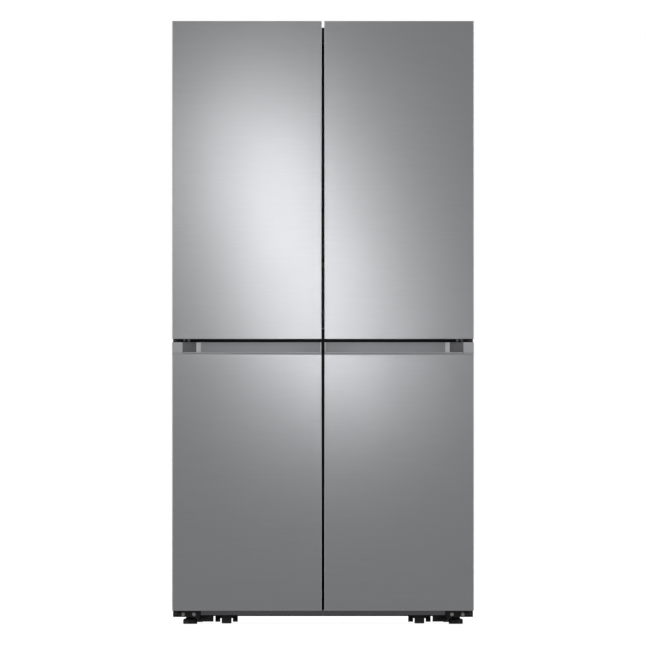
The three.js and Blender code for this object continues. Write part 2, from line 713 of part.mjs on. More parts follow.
// A door bin drawn about the middle of its width, its back on the door and its front wall raised.
function doorBin() {
  const width = BIN.to - BIN.from;
  return tray([-width / 2, width / 2], [0, BIN.depth], [0, BIN.height]);
}

// ---------------------------------------------------------------- assembly

const place = (side, { x, y, z }) => [side * x, y, z];

const refrigerator = new THREE.Group();
const cabinet = new THREE.Group();
const fittings = new THREE.Group();
refrigerator.add(cabinet, fittings);

cabinet.add(
  mesh("outer_case", outerCase(), CASE_PAINT),
  mesh("rear_panel", rearPanel(), GALVANISED),
  mesh("cabinet_foam", cabinetFoam(), FOAM),
  mesh("fridge_liner", fridgeLiner(), LINER_WHITE),
  mesh("freezer_liner", lowerLiner(SIDES.left), LINER_WHITE),
  mesh("flex_zone_liner", lowerLiner(SIDES.right), LINER_WHITE),
  mesh("front_crossmember", frontCrossmember(), CASE_PAINT),
  mesh("base_frame", baseFrame(), BLACK_STEEL),
  mesh("machine_cover", machineCover(), BLACK_STEEL),
  mesh("compressor", compressor(), BLACK_STEEL),
  mesh("condenser", condenser(), COPPER),
  mesh("condenser_fan", condenserFan(), BLACK_PLASTIC, [FAN.x, FAN.y, FAN.z]),
);

for (const [name, side] of Object.entries(SIDES)) {
  cabinet.add(
    mesh(`top_hinge_${name}`, topHinge(side), GALVANISED),
    mesh(`top_hinge_cover_${name}`, topHingeCover(side), CAP_GREY),
    mesh(`middle_hinge_${name}`, middleHinge(side), GALVANISED),
    mesh(`bottom_hinge_${name}`, bottomHinge(side), BLACK_STEEL),
    mesh(`levelling_foot_${name}`, levellingFoot(), BLACK_PLASTIC, [side * FOOT.x, FOOT.y, 0]),
    mesh(`roller_front_${name}`, roller(), BLACK_PLASTIC, place(side, FRONT_ROLLER)),
    mesh(`roller_rear_${name}`, roller(), BLACK_PLASTIC, place(side, REAR_ROLLER)),
  );

  const upper = new THREE.Group();
  upper.add(
    mesh(`upper_${name}_door_skin`, upperSkin(side), STEEL),
    mesh(`upper_${name}_door_top_cap`, upperTopCap(side), CAP_GREY),
    mesh(`upper_${name}_door_bottom_cap`, upperBottomCap(side), HANDLE_GREY),
    mesh(
      `upper_${name}_door_liner`,
      name === "left" ? leftLinerWithPostBrackets() : doorLiner(side, upperFill, upperRim),
      LINER_WHITE,
    ),
    mesh(`upper_${name}_door_seal`, doorSeal(side, [875, 1797]), SEAL_GREY),
  );
  for (const [level, height] of Object.entries(BIN.heights)) {
    const middle = doorX(side, (BIN.from + BIN.to) / 2);
    upper.add(mesh(`door_bin_${name}_${level}`, doorBin(), CLEAR_PLASTIC, [middle, DOOR_BACK + FIT, height]));
  }
  if (name === "left") upper.add(mesh("folding_post", foldingPost(), CAP_GREY, [POST.x, POST.y, 0]));

  const lower = new THREE.Group();
  lower.add(
    mesh(`lower_${name}_door_skin`, lowerSkin(side), STEEL),
    mesh(`lower_${name}_door_handle_cap`, lowerTopCap(side), HANDLE_GREY),
    mesh(`lower_${name}_door_bottom_cap`, lowerBottomCap(side), CAP_GREY),
    mesh(`lower_${name}_door_liner`, doorLiner(side, lowerFill, lowerRim), LINER_WHITE),
    mesh(`lower_${name}_door_seal`, doorSeal(side, [53, 841]), SEAL_GREY),
  );
  refrigerator.add(upper, lower);

  const crisperWidth = CRISPER.outer - CRISPER.inner;
  const crisperX = (side * (CRISPER.outer + CRISPER.inner)) / 2;
  const crisper = drawer(crisperWidth, [CRISPER.front, CRISPER.back], CRISPER.top - CRISPER.bottom);
  fittings.add(mesh(`crisper_${name}`, crisper, CLEAR_PLASTIC, [crisperX, 0, CRISPER.bottom]));

  const zone = name === "left" ? "freezer" : "flex";
  const drawerX = (side * (DRAWER.outer + DRAWER.inner)) / 2;
  for (const level of ["upper", "lower"]) {
    const { back, bottom, top } = DRAWER[level];
    const made = drawer(DRAWER.outer - DRAWER.inner, [DRAWER.front, back], top - bottom);
    fittings.add(mesh(`${zone}_drawer_${level}`, made, CLEAR_PLASTIC, [drawerX, 0, bottom]));
  }
}

for (const [level, height] of Object.entries(SHELF.heights)) {
  fittings.add(mesh(`glass_shelf_${level}`, shelf(), GLASS, [0, 0, height]));
}
fittings.add(mesh("crisper_cover_shelf", shelf(), GLASS, [0, 0, CRISPER_COVER]));

export default refrigerator;
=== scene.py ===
# %% [markdown]
# # A four-door refrigerator in brushed stainless steel
#
# The real appliance is a folded steel case filled with foam, with four thick doors hung on pins at
# its outer edges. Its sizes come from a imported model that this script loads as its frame. The
# script adds what a camera sees: rolled steel edges, moulded plastic, seals, glass and the marks
# that brushing leaves. Meshes are drawn in millimetres and made metres last.

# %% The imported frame
import json
import math

import bmesh
import bpy
from mathutils import Matrix, Vector
from mathutils.geometry import interpolate_bezier


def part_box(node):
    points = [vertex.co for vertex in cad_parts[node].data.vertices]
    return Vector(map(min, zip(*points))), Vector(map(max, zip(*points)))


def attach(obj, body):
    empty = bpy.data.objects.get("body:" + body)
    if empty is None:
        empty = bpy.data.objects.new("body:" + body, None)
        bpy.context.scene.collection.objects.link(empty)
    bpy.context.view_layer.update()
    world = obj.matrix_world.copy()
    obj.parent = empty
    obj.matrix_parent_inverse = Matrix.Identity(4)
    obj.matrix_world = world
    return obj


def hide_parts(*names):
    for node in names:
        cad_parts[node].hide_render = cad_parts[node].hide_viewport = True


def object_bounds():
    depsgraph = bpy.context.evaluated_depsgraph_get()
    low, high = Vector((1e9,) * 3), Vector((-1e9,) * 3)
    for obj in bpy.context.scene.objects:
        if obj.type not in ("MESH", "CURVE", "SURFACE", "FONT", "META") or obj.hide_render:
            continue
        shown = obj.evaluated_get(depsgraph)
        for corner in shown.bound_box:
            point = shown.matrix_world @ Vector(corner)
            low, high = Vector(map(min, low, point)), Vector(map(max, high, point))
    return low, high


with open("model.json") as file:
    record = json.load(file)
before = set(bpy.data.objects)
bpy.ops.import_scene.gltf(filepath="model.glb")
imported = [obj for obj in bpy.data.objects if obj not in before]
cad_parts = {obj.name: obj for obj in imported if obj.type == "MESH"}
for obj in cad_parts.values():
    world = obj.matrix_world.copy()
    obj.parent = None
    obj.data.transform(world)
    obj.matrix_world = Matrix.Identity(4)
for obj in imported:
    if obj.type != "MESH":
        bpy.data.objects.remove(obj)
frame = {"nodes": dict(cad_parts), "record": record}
cad_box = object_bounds()
MM = 0.001
LEFT, RIGHT = "left", "right"
SIDES = {LEFT: -1, RIGHT: 1}
scene = bpy.context.scene


def box_mm(node):
    """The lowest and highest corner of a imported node, in millimetres."""
    low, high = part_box(node)
    return Vector(low) / MM, Vector(high) / MM


HALF = cad_box[1][0] / MM
FRONT = cad_box[0][1] / MM
HEIGHT = cad_box[1][2] / MM
DOORS = [(level, side) for side in SIDES for level in ("upper", "lower")]


def placed(name, data):
    """An object in the scene that shows some data."""
    made = bpy.data.objects.new(name, data)
    scene.collection.objects.link(made)
    return made


print("frame:", len(frame["nodes"]), "nodes,", [round(v / MM) for v in cad_box[1]], "mm")

# %% [markdown]
# ## Camera
#
# A catalogue picture of a tall appliance is taken from far away with a long lens, so that the doors
# stay true rectangles and the dark parts under them stay in sight. The camera looks straight ahead
# at half the appliance's height, and its lens follows from the width that has to fit in the frame.

# %% Camera
CAMERA_DISTANCE, CAMERA_HEIGHT, CAMERA_SIGHT = 90.0, 0.911, 130.0
FRAMED_WIDTH, SENSOR_WIDTH = 1.953, 36.0
camera_data = bpy.data.cameras.new("camera")
camera_data.sensor_width = SENSOR_WIDTH
camera_data.lens = SENSOR_WIDTH * CAMERA_DISTANCE / FRAMED_WIDTH
camera_data.clip_end = CAMERA_SIGHT
camera = placed("camera", camera_data)
camera.location = (0, FRONT * MM - CAMERA_DISTANCE, CAMERA_HEIGHT)
camera.rotation_euler = (math.pi / 2, 0, 0)
scene.camera = camera
scene.view_settings.view_transform = "Standard"
print("lens:", round(camera_data.lens, 1), "mm")

# %% [markdown]
# ## Shader arithmetic
#
# A finish is a small program made of nodes, and hard to read when it's written node by node. So
# one class wraps an output socket and turns Python's operators into Math nodes. Another holds a
# node tree and has the only method that makes nodes.


# %% Sockets and node trees
class Field:
    """An output socket that varies over a surface. Arithmetic on it adds Math nodes."""

    def __init__(self, nodes, socket):
        self.nodes, self.socket = nodes, socket

    def maths(self, operation, other):
        return self.nodes.add("ShaderNodeMath", {"operation": operation}, {0: self, 1: other})

    def __add__(self, other):
        return self.maths("ADD", other)

    def __mul__(self, other):
        return self.maths("MULTIPLY", other)

    __radd__ = __add__


class Nodes:
    """A node tree, with one method for making any node."""

    def __init__(self, tree):
        self.tree = tree

    def join(self, value, socket):
        if isinstance(value, Field):
            self.tree.links.new(value.socket, socket)
        else:
            socket.default_value = value

    def add(self, kind, settings=None, inputs=None, output=0):
        node = self.tree.nodes.new(kind)
        for key, value in (settings or {}).items():
            setattr(node, key, value)
        for key, value in (inputs or {}).items():
            self.join(value, node.inputs[key])
        return Field(self, node.outputs[output])


class Finish(Nodes):
    """A material that reads Object coordinates and drives a Principled shader."""

    def __init__(self, name, color, roughness, slot=None, **sockets):
        self.material = bpy.data.materials.new(name)
        self.material.use_nodes = True
        self.slot = slot or name
        super().__init__(self.material.node_tree)
        self.shader = self.tree.nodes["Principled BSDF"]
        self.place = self.add("ShaderNodeTexCoord", output="Object")
        self.color = (*color, 1.0)
        self.set("Base Color", self.color)
        self.set("Roughness", roughness)
        for socket, value in sockets.items():
            self.set(socket.replace("_", " "), value)
        print("finish:", name)

    def set(self, socket, value):
        self.join(value, self.shader.inputs[socket])

    def stretched(self, x, y, z):
        """The surface's own coordinates, stretched along each axis."""
        inputs = {0: self.place, 1: (x, y, z)}
        return self.add("ShaderNodeVectorMath", {"operation": "MULTIPLY"}, inputs)

    def noise(self, scale, detail=2.0, stretch=None):
        """Soft noise from 0 to 1. The scale is in cells per metre."""
        vector = self.stretched(*stretch) if stretch else self.place
        inputs = {"Vector": vector, "Scale": scale, "Detail": detail}
        return self.add("ShaderNodeTexNoise", None, inputs)

    def tint(self, amount, dark, light):
        """Lets the base colour run between two strengths of the finish's own colour."""
        shades = [(*(min(1.0, c * share) for c in self.color[:3]), 1.0) for share in (dark, light)]
        inputs = {0: amount, 6: shades[0], 7: shades[1]}
        mix = self.add("ShaderNodeMix", {"data_type": "RGBA"}, inputs, output=2)
        self.set("Base Color", mix)

    def relief(self, height, distance, strength=1.0):
        """Bump from a height field, its distance in metres."""
        inputs = {"Height": height, "Distance": distance, "Strength": strength}
        self.set("Normal", self.add("ShaderNodeBump", None, inputs))


# %% [markdown]
# ## Brushed stainless steel
#
# The door fronts are ferritic stainless, ground with a belt that leaves fine level scratches, then
# coated against fingerprints. The scratches are much longer than they are high, so the noise behind
# them is squeezed in height and stretched along the door. Two sizes of scratch are mixed, because
# one alone looks like printed lines. A slow cloud in the roughness stands for the coating.

# %% Brushed stainless
steel = Finish("brushed_stainless", (0.565, 0.572, 0.588), 0.4, Metallic=1.0)
fine_scratches = steel.noise(1.0, 3.0, stretch=(26, 26, 1500))
broad_scratches = steel.noise(1.0, stretch=(7, 7, 330))
coating = steel.noise(3.5)
brushing = fine_scratches * 0.6 + broad_scratches * 0.4
steel.tint(brushing, 0.9, 1.1)
steel.set("Roughness", 0.34 + brushing * 0.12 + coating * 0.05)
steel.relief(fine_scratches, 0.00002, 0.35)

# %% [markdown]
# ## Painted and plated steel
#
# The case is roller-coated sheet with a faint orange peel. The frame behind the gaps between the
# doors is near black as painted shade, standing for the shade deep in those gaps. The base and the
# small brackets are black powder coat, which is rougher and grainier. The rear sheet and the top
# hinges are zinc plated: zinc cools in crystals, and a Voronoi pattern gives each crystal its own
# shade.

# %% Painted and plated steel
case_paint = Finish("case_paint", (0.155, 0.157, 0.165), 0.42, Metallic=0.25)
peel = case_paint.noise(420, 3.0)
case_paint.tint(case_paint.noise(5), 0.93, 1.07)
case_paint.set("Roughness", 0.38 + peel * 0.12)
case_paint.relief(peel, 0.00025, 0.35)

# Near black as painted shade: it stands for the shade deep in the gaps between the doors.
frame_painted_shade = Finish("frame_painted_shade", (0.03, 0.03, 0.033), 0.6, "case_paint")
frame_painted_shade.set("Roughness", 0.55 + frame_painted_shade.noise(420, 3.0) * 0.12)

powder = Finish("black_steel", (0.025, 0.025, 0.028), 0.5)
grit = powder.noise(900)
powder.tint(powder.noise(30), 0.8, 1.3)
powder.set("Roughness", 0.42 + grit * 0.2)
powder.relief(grit, 0.0002, 0.5)

zinc = Finish("galvanised", (0.42, 0.43, 0.44), 0.4, Metallic=0.85)
cells = {"Vector": zinc.place, "Scale": 210.0}
crystals = zinc.add("ShaderNodeTexVoronoi", {"feature": "F1"}, cells, output="Color")
crystal_shade = zinc.add("ShaderNodeSeparateColor", None, {"Color": crystals})
zinc.tint(crystal_shade * 0.5 + zinc.noise(6, 3.0) * 0.5, 0.9, 1.08)
zinc.set("Roughness", 0.36 + crystal_shade * 0.1)

# %% [markdown]
# ## Moulded plastic
#
# Every moulded part has a faint texture from its tool: a spark-eroded grain on the dark caps, a
# satin skin with metallic pigment on the handle, and a slightly rippled, almost polished white on
# the liners, which are drawn sheet. Two copies of the handle finish are painted light: a dark one
# is painted shade in the handle's recess, and a near-white one is a painted highlight on its curve.
# All are one recipe with other numbers.


# %% Moulded plastic
def moulded(name, color, roughness, grain, depth, **sockets):
    finish = Finish(name, color, roughness, **sockets)
    texture = finish.noise(grain)
    wave = finish.noise(4.0, 1.0)
    finish.tint(wave, 0.96, 1.04)
    finish.set("Roughness", (roughness - 0.04) + texture * 0.05 + wave * 0.05)
    finish.relief(texture, depth, 0.4)
    return finish


SATIN = {"grain": 1300, "depth": 0.0001, "slot": "handle_grey"}
handle_grey = moulded("handle_grey", (0.47, 0.476, 0.498), 0.45, **SATIN)
handle_silver = moulded("handle_silver", (0.56, 0.565, 0.584), 0.34, Metallic=0.1, **SATIN)
# A near-white copy of the handle finish: a painted highlight on the recess's curve.
handle_painted_highlight = moulded("handle_painted_highlight", (0.88, 0.886, 0.9), 0.6, Metallic=0.45, **SATIN)
# A dark copy of the handle finish: painted shade on the recess wall near the hinge.
handle_painted_shade = moulded("handle_painted_shade", (0.122, 0.123, 0.129), 0.42, Metallic=0.1, **SATIN)
toe_grey = moulded("toe_grey", (0.34, 0.336, 0.37), 0.42, 1000, 0.0002, slot="black_steel")
cap_grey = moulded("cap_grey", (0.09, 0.092, 0.1), 0.5, 1000, 0.0002)
liner_white = moulded("liner_white", (0.84, 0.85, 0.85), 0.28, 500, 0.00006)
door_white = moulded("door_white", (0.84, 0.85, 0.85), 0.3, 500, 0.00006, slot="door_core")
CLEAR = {"slot": "clear_plastic"}
trim_grey = moulded("trim_grey", (0.52, 0.53, 0.54), 0.32, 900, 0.0001, **CLEAR)
black_plastic = moulded("black_plastic", (0.014, 0.014, 0.015), 0.5, 900, 0.0003)
clear_plastic = moulded("clear_plastic", (0.86, 0.91, 0.93), 0.12, 300, 0.00003, Alpha=0.42)
frosted = moulded("frosted_plastic", (0.86, 0.9, 0.92), 0.3, 400, 0.00005, Alpha=0.72, **CLEAR)
lamp_cover = moulded("lamp_cover", (0.93, 0.93, 0.91), 0.45, 600, 0.0001, slot="liner_white")
PLATED = {"slot": "galvanised", "Metallic": 0.35}
screw_zinc = moulded("screw_zinc", (0.8, 0.8, 0.79), 0.36, 700, 0.0001, **PLATED)
seal_grey = moulded("seal_grey", (0.2, 0.203, 0.21), 0.62, 700, 0.0003)
foam_finish = moulded("foam", (0.78, 0.7, 0.45), 0.9, 250, 0.0008)

# %% [markdown]
# ## Glass and metal inside
#
# Shelf glass has a green cast. A faint colour and a low alpha read as clear glass from every side.
# The coil's fins are bright aluminium and the pipes are copper that has started to brown.

# %% Glass and metal inside
shelf_glass = Finish("shelf_glass", (0.74, 0.9, 0.86), 0.06, Alpha=0.28)
shelf_glass.set("Roughness", 0.05 + shelf_glass.noise(60) * 0.04)
fin_metal = Finish("fin_metal", (0.6, 0.6, 0.61), 0.38, "coil_metal", Metallic=1.0)
fin_metal.set("Roughness", 0.3 + fin_metal.noise(80) * 0.2)
copper = Finish("copper_pipe", (0.62, 0.31, 0.17), 0.3, "coil_metal", Metallic=1.0)
copper.tint(copper.noise(35, 4.0), 0.45, 1.1)
copper.set("Roughness", 0.22 + copper.noise(60) * 0.25)

# %% [markdown]
# ## Tools for making meshes
#
# Sheet metal and moulded parts are mostly boxes with rounded edges, so the helpers start from a cube
# and bevel it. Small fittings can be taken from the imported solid: a copy is merged, its flat areas
# become single faces, and its sharp edges are broken, as a press or a mould leaves them.


# %% Mesh tools
def unit(axis, length=1.0):
    """A vector along one axis."""
    return Vector([length if i == axis else 0.0 for i in range(3)])


UP, DOWN, AHEAD, REAR = unit(2), unit(2, -1.0), unit(1, -1.0), unit(1)


def shift(mesh, offset, verts=None):
    bmesh.ops.translate(mesh, vec=offset, verts=verts or mesh.verts)


def resize(mesh, factors, verts=None):
    bmesh.ops.scale(mesh, vec=factors, verts=verts or mesh.verts)


def face_outward(mesh):
    bmesh.ops.recalc_face_normals(mesh, faces=mesh.faces)


def block(low, high, mesh=None):
    """A box between two corners, in a mesh of its own or added to one."""
    mesh = mesh or bmesh.new()
    low, high = map(Vector, zip(*(sorted(pair) for pair in zip(low, high))))
    verts = bmesh.ops.create_cube(mesh, size=1)["verts"]
    resize(mesh, high - low, verts)
    shift(mesh, (low + high) / 2, verts)
    return mesh


def along(mesh, axis, where=lambda middle: True):
    """Edges that run along an axis and whose middle passes a test."""
    picked = []
    for edge in mesh.edges:
        start, end = (vert.co for vert in edge.verts)
        if abs((end - start).normalized()[axis]) > 0.99 and where((start + end) / 2):
            picked.append(edge)
    return picked


def facing(mesh, direction, where=lambda middle: True):
    """Faces that look along a direction and whose middle passes a test."""
    mesh.normal_update()
    looking = [f for f in mesh.faces if f.normal.dot(direction) > 0.99]
    return [f for f in looking if where(f.calc_center_median())]


def round_edges(mesh, geom, radius, segments=4, affect="EDGES"):
    shape = {"offset": radius, "segments": segments, "profile": 0.5}
    bmesh.ops.bevel(mesh, geom=geom, affect=affect, clamp_overlap=True, material=-1, **shape)
    return mesh


def sharp_edges(mesh, degrees, where=lambda middle: True):
    """Edges where two faces meet at more than an angle and whose middle passes a test."""
    limit = math.radians(degrees)
    folded = [e for e in mesh.edges if len(e.link_faces) == 2 and e.calc_face_angle(0) > limit]
    return [e for e in folded if where((e.verts[0].co + e.verts[1].co) / 2)]


def slice_at(mesh, axis, *places):
    """Cuts new edges across every face where planes square to an axis pass."""
    for place in places:
        everything = mesh.verts[:] + mesh.edges[:] + mesh.faces[:]
        plane = {"plane_co": unit(axis, place), "plane_no": unit(axis)}
        bmesh.ops.bisect_plane(mesh, geom=everything, **plane)


def drop(mesh, faces):
    bmesh.ops.delete(mesh, geom=faces, context="FACES")


def thicken(mesh, thickness):
    bmesh.ops.solidify(mesh, geom=mesh.faces[:], thickness=thickness)


def inset(mesh, faces, thickness, depth=0.0):
    shape = {"thickness": thickness, "depth": depth, "use_even_offset": True}
    bmesh.ops.inset_region(mesh, faces=faces, **shape)


def flatten(mesh, degrees):
    """Makes single faces of areas that are flat to within an angle."""
    angle = math.radians(degrees)
    bmesh.ops.dissolve_limit(mesh, angle_limit=angle, verts=mesh.verts, edges=mesh.edges)


def join(mesh, other):
    """Adds another mesh to a mesh, and frees it."""
    holder = bpy.data.meshes.new("holder")
    other.to_mesh(holder)
    other.free()
    mesh.from_mesh(holder)
    bpy.data.meshes.remove(holder)
    return mesh


def grow(mesh, faces, offset, base=False):
    """Pushes a group of faces by an offset, with walls behind it. Returns the moved faces.

    The operator leaves the first faces inside, so they're deleted unless they're kept as a base.
    """
    made = bmesh.ops.extrude_face_region(mesh, geom=faces)["geom"]
    verts = [g for g in made if isinstance(g, bmesh.types.BMVert)]
    shift(mesh, offset, verts)
    if not base:
        drop(mesh, faces)
    return [g for g in made if isinstance(g, bmesh.types.BMFace)]


def to_side(mesh, side):
    """Takes a door's u, counted from its hinge edge, to x. The right door is a mirror image."""
    if side == RIGHT:
        resize(mesh, (-1, 1, 1))
        bmesh.ops.reverse_faces(mesh, faces=mesh.faces)
    shift(mesh, (SIDES[side] * HALF, 0, 0))
    return mesh


def piece(name, mesh, finish, body, replaces=(), smooth=35, extra=()):
    """An object from a mesh in millimetres, with its finish, that rides on a body."""
    face_outward(mesh)
    resize(mesh, (MM, MM, MM))
    data = bpy.data.meshes.new(name)
    mesh.to_mesh(data)
    mesh.free()
    data.polygons.foreach_set("use_smooth", [True] * len(data.polygons))
    data.set_sharp_from_angle(angle=math.radians(smooth))
    for each in (finish, *extra):
        data.materials.append(each.material)
    made = placed(name, data)
    shading = made.modifiers.new("even_shading", "WEIGHTED_NORMAL")
    shading.keep_sharp = True
    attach(made, body)
    if replaces:
        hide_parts(*replaces)


def body_of(node):
    bodies = frame["record"]["behaviour"]["bodies"]
    return next(body for body, nodes in bodies.items() if node in nodes)


def stand_in(name, mesh, finish, node, **more):
    """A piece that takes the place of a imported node, on that node's body."""
    piece(name, mesh, finish, body_of(node), (node,), **more)


def packed_copy(node):
    """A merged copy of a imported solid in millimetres, its flat areas made single faces."""
    mesh = bmesh.new()
    mesh.from_mesh(frame["nodes"][node].data)
    resize(mesh, (1 / MM,) * 3)
    bmesh.ops.remove_doubles(mesh, verts=mesh.verts, dist=0.002)
    flatten(mesh, 0.5)
    return mesh


def refined(node, finish, radius, segments=2, degrees=35, where=lambda middle: True):
    """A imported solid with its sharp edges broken."""
    mesh = packed_copy(node)
    round_edges(mesh, sharp_edges(mesh, degrees, where), radius, segments)
    stand_in(node + "_fine", mesh, finish, node)


def softened_block(low, high, radius, segments=3, mesh=None):
    """A box with all its edges rounded, on its own or added to a mesh."""
    fresh = block(low, high)
    round_edges(fresh, fresh.edges[:], radius, segments)
    return join(mesh, fresh) if mesh else fresh


def bar(name, low, high, radius, segments, finish, body="cabinet"):
    """A piece that is only a box with rounded edges."""
    piece(name, softened_block(low, high, radius, segments), finish, body)


def turned(profile, centre, axis, steps=32, mesh=None):
    """A solid of revolution. The profile holds (radius, distance along the axis) points."""
    mesh = mesh or bmesh.new()
    across = (axis + 1) % 3
    verts = []
    for radius, distance in profile:
        point = Vector(centre)
        point[across] += radius
        point[axis] += distance
        verts.append(mesh.verts.new(point))
    edges = [mesh.edges.new(pair) for pair in zip(verts, verts[1:])]
    spin = {"cent": centre, "axis": unit(axis), "angle": math.tau, "steps": steps}
    bmesh.ops.spin(mesh, geom=verts + edges, use_merge=True, use_duplicate=False, **spin)
    bmesh.ops.remove_doubles(mesh, verts=mesh.verts, dist=0.001)
    return mesh


# %% [markdown]
# ## Door skins
#
# Each front is one sheet folded back along both sides, with a tight bend. The lower fronts also roll
# over at the top into the lip that the fingers pull on, and that roll is what catches the light as
# a bright line. A cube gives the fold lines, a bevel turns them into bends, and the open box is
# then given the sheet's thickness.

# %% Door skins
SHEET, BEND, LIP_RADIUS = 1.2, 2.6, 10.0
for level, side in DOORS:
    node = f"{level}_{side}_door_skin"
    low, high = box_mm(node)
    width = high.x - low.x
    mesh = block((0, low.y, low.z), (width, high.y, high.z))
    if level == "lower":
        lip = along(mesh, 0, lambda p: p.y < low.y + 1 and p.z > high.z - 1)
        round_edges(mesh, lip, LIP_RADIUS, 8)
    sides = {e for f in mesh.faces if abs(f.normal.x) > 0.9 for e in f.edges}
    level_faces = [f for f in mesh.faces if abs(f.normal.x) < 0.1]
    fronts = {e for f in level_faces if f.normal.y < -0.05 for e in f.edges}
    round_edges(mesh, [e for e in mesh.edges if e in sides and e in fronts], BEND, 6)
    if level == "lower":
        slice_at(mesh, 1, low.y + LIP_RADIUS + 1)
        drop(mesh, facing(mesh, UP, lambda p: p.y > low.y + LIP_RADIUS + 1))
    else:
        notch_z, notch_y = HEIGHT - 21, FRONT + 23
        slice_at(mesh, 2, notch_z)
        slice_at(mesh, 1, notch_y)
        notch = facing(mesh, unit(0, -1.0), lambda p: p.z > notch_z and p.y > notch_y)
        drop(mesh, notch + facing(mesh, UP))
    drop(mesh, facing(mesh, DOWN) + facing(mesh, REAR))
    loose = [v for v in mesh.verts if not v.link_faces]
    bmesh.ops.delete(mesh, geom=loose, context="VERTS")
    flatten(mesh, 0.5)
    thicken(mesh, SHEET)
    if level == "upper":
        top_edge = along(mesh, 0, lambda p: p.z > high.z - 0.1 and p.y < low.y + 0.1)
        round_edges(mesh, top_edge, 0.6, 2)
    stand_in(f"{level}_{side}_front", to_side(mesh, side), steel, node)
print("four fronts,", round(width, 1), "mm wide")

# %% [markdown]
# ## Handle recess
#
# The lower doors end in a moulded cap. Beside the hinge it's a solid block, level with the steel.
# Next to that a pocket opens behind the steel lip and sweeps back to full depth, so that a hand
# slides in. It's drawn as a floor plan of four areas that share their borders: the body, the
# pocket, the thin wall behind the lip and the strip in front of it. Each area is then grown upward
# to its own height, so the cap stays one closed solid. In the recess, the wall nearest the hinge
# gets a dark finish that is painted shade, and a strip on its curve gets a near-white one that is a
# painted highlight.

# %% Handle recess
RECESS_START, RECESS_BACK, WALL_FRONT, WALL_BACK = 31.4, 42.0, 10.0, 12.0
# The strip of the recess's curve, counted from the hinge edge, that gets the painted highlight.
PAINTED_HIGHLIGHT_START, PAINTED_HIGHLIGHT_END = 71.0, 85.0
CAP_INSET = 1.5
POCKET_FLOOR, LIP_TOP = 797.0, 822.0
sweep_ends = (65, 33.4, 0), (78, 41.4, 0), (84, RECESS_BACK, 0), (99, RECESS_BACK, 0)
sweep = interpolate_bezier(*sweep_ends, 10)


def handle_cap(width, bottom, top, back):
    """A handle cap in (u, y, z), with y counted from the front."""
    mesh = bmesh.new()
    inner, end = width - CAP_INSET - 3, width - CAP_INSET

    def corner(u, y):
        return mesh.verts.new((u, FRONT + y, bottom))

    outer = [corner(CAP_INSET, back), corner(CAP_INSET, CAP_INSET), corner(RECESS_START, CAP_INSET)]
    near = [corner(RECESS_START, y) for y in (WALL_FRONT, WALL_BACK, WALL_BACK + 1)]
    curve = [corner(p.x, p.y) for p in sweep]
    far = [corner(inner, y) for y in (RECESS_BACK, WALL_BACK, WALL_FRONT, CAP_INSET)]
    last = [corner(end, CAP_INSET), corner(end, back)]
    body = mesh.faces.new(outer + near + curve + far + last)
    pocket = mesh.faces.new([near[1], far[1], far[0], *reversed(curve), near[2]])
    wall = mesh.faces.new([near[0], far[2], far[1], near[1]])
    strip = mesh.faces.new([outer[2], far[3], far[2], near[0]])
    plan = {"body": body, "pocket": pocket, "wall": wall, "strip": strip}
    marks = {name: (f.calc_center_median_weighted().xy, len(f.verts)) for name, f in plan.items()}
    raised = grow(mesh, list(plan.values()), UP * (POCKET_FLOOR - bottom), base=True)

    def is_over(face, name):
        middle, corners = marks[name]
        apart = face.calc_center_median_weighted().xy - middle
        return len(face.verts) == corners and apart.length < 0.5

    def top_of(faces, *names):
        return [f for f in faces if any(is_over(f, name) for name in names)]

    raised = grow(mesh, top_of(raised, "body", "wall"), UP * (LIP_TOP - 1.5 - POCKET_FLOOR))
    raised = grow(mesh, top_of(raised, "body"), UP * 1.8)
    raised = grow(mesh, raised, UP * 0.0)  # the level step out to the face of the steel
    for vert in raised[0].verts:
        if abs(vert.co.y - FRONT - CAP_INSET) < 0.01:
            vert.co.y = FRONT
        if abs(vert.co.x - CAP_INSET) < 0.01:
            vert.co.x = 0
        if abs(vert.co.x - end) < 0.01:
            vert.co.x = width - 1.2
    grow(mesh, raised, UP * (top - LIP_TOP - 0.3))
    face_outward(mesh)
    return mesh


for side in SIDES:
    node = f"lower_{side}_door_handle_cap"
    low, high = box_mm(node)
    mesh = handle_cap(high.x - low.x, low.z, high.z, high.y - low.y)
    visible = sharp_edges(mesh, 40, lambda p: p.z > LIP_TOP + 1)
    round_edges(mesh, visible, 1.0, 3)
    mesh.normal_update()
    for face in mesh.faces:
        middle = face.calc_center_median()
        if middle.y < FRONT + 1.2 and middle.z > LIP_TOP:
            face.material_index = 1
        # Recess walls nearer the hinge get painted shade, and the strip on the curve gets a painted
        # highlight.
        elif WALL_BACK < middle.y - FRONT < RECESS_BACK and abs(face.normal.z) < 0.5:
            if PAINTED_HIGHLIGHT_START < middle.x < PAINTED_HIGHLIGHT_END:
                face.material_index = 3
            elif middle.x < PAINTED_HIGHLIGHT_START:
                face.material_index = 2
    bead_low = (RECESS_START + 1, FRONT + 2.5, LIP_TOP - 2)
    bead_high = (high.x - low.x - 5, FRONT + WALL_BACK - 0.5, LIP_TOP + 1)
    grip = softened_block(bead_low, bead_high, 1.2)
    piece(f"grip_edge_{side}", to_side(grip, side), handle_silver, body_of(node))
    # The silver front faces, the painted shade and the painted highlight of the cap.
    tones = (handle_silver, handle_painted_shade, handle_painted_highlight)
    stand_in(f"handle_cap_{side}", to_side(mesh, side), handle_grey, node, extra=tones)
print("two handle recesses")

# %% [markdown]
# ## Other door caps
#
# The remaining caps close the ends of the foam. They're plain mouldings with bores for the hinge
# pins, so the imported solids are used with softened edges.

# %% Other door caps
for side in SIDES:
    refined(f"upper_{side}_door_top_cap", cap_grey, 0.8)
    refined(f"upper_{side}_door_bottom_cap", handle_grey, 0.8)
    refined(f"lower_{side}_door_bottom_cap", cap_grey, 0.8)
print("six caps")

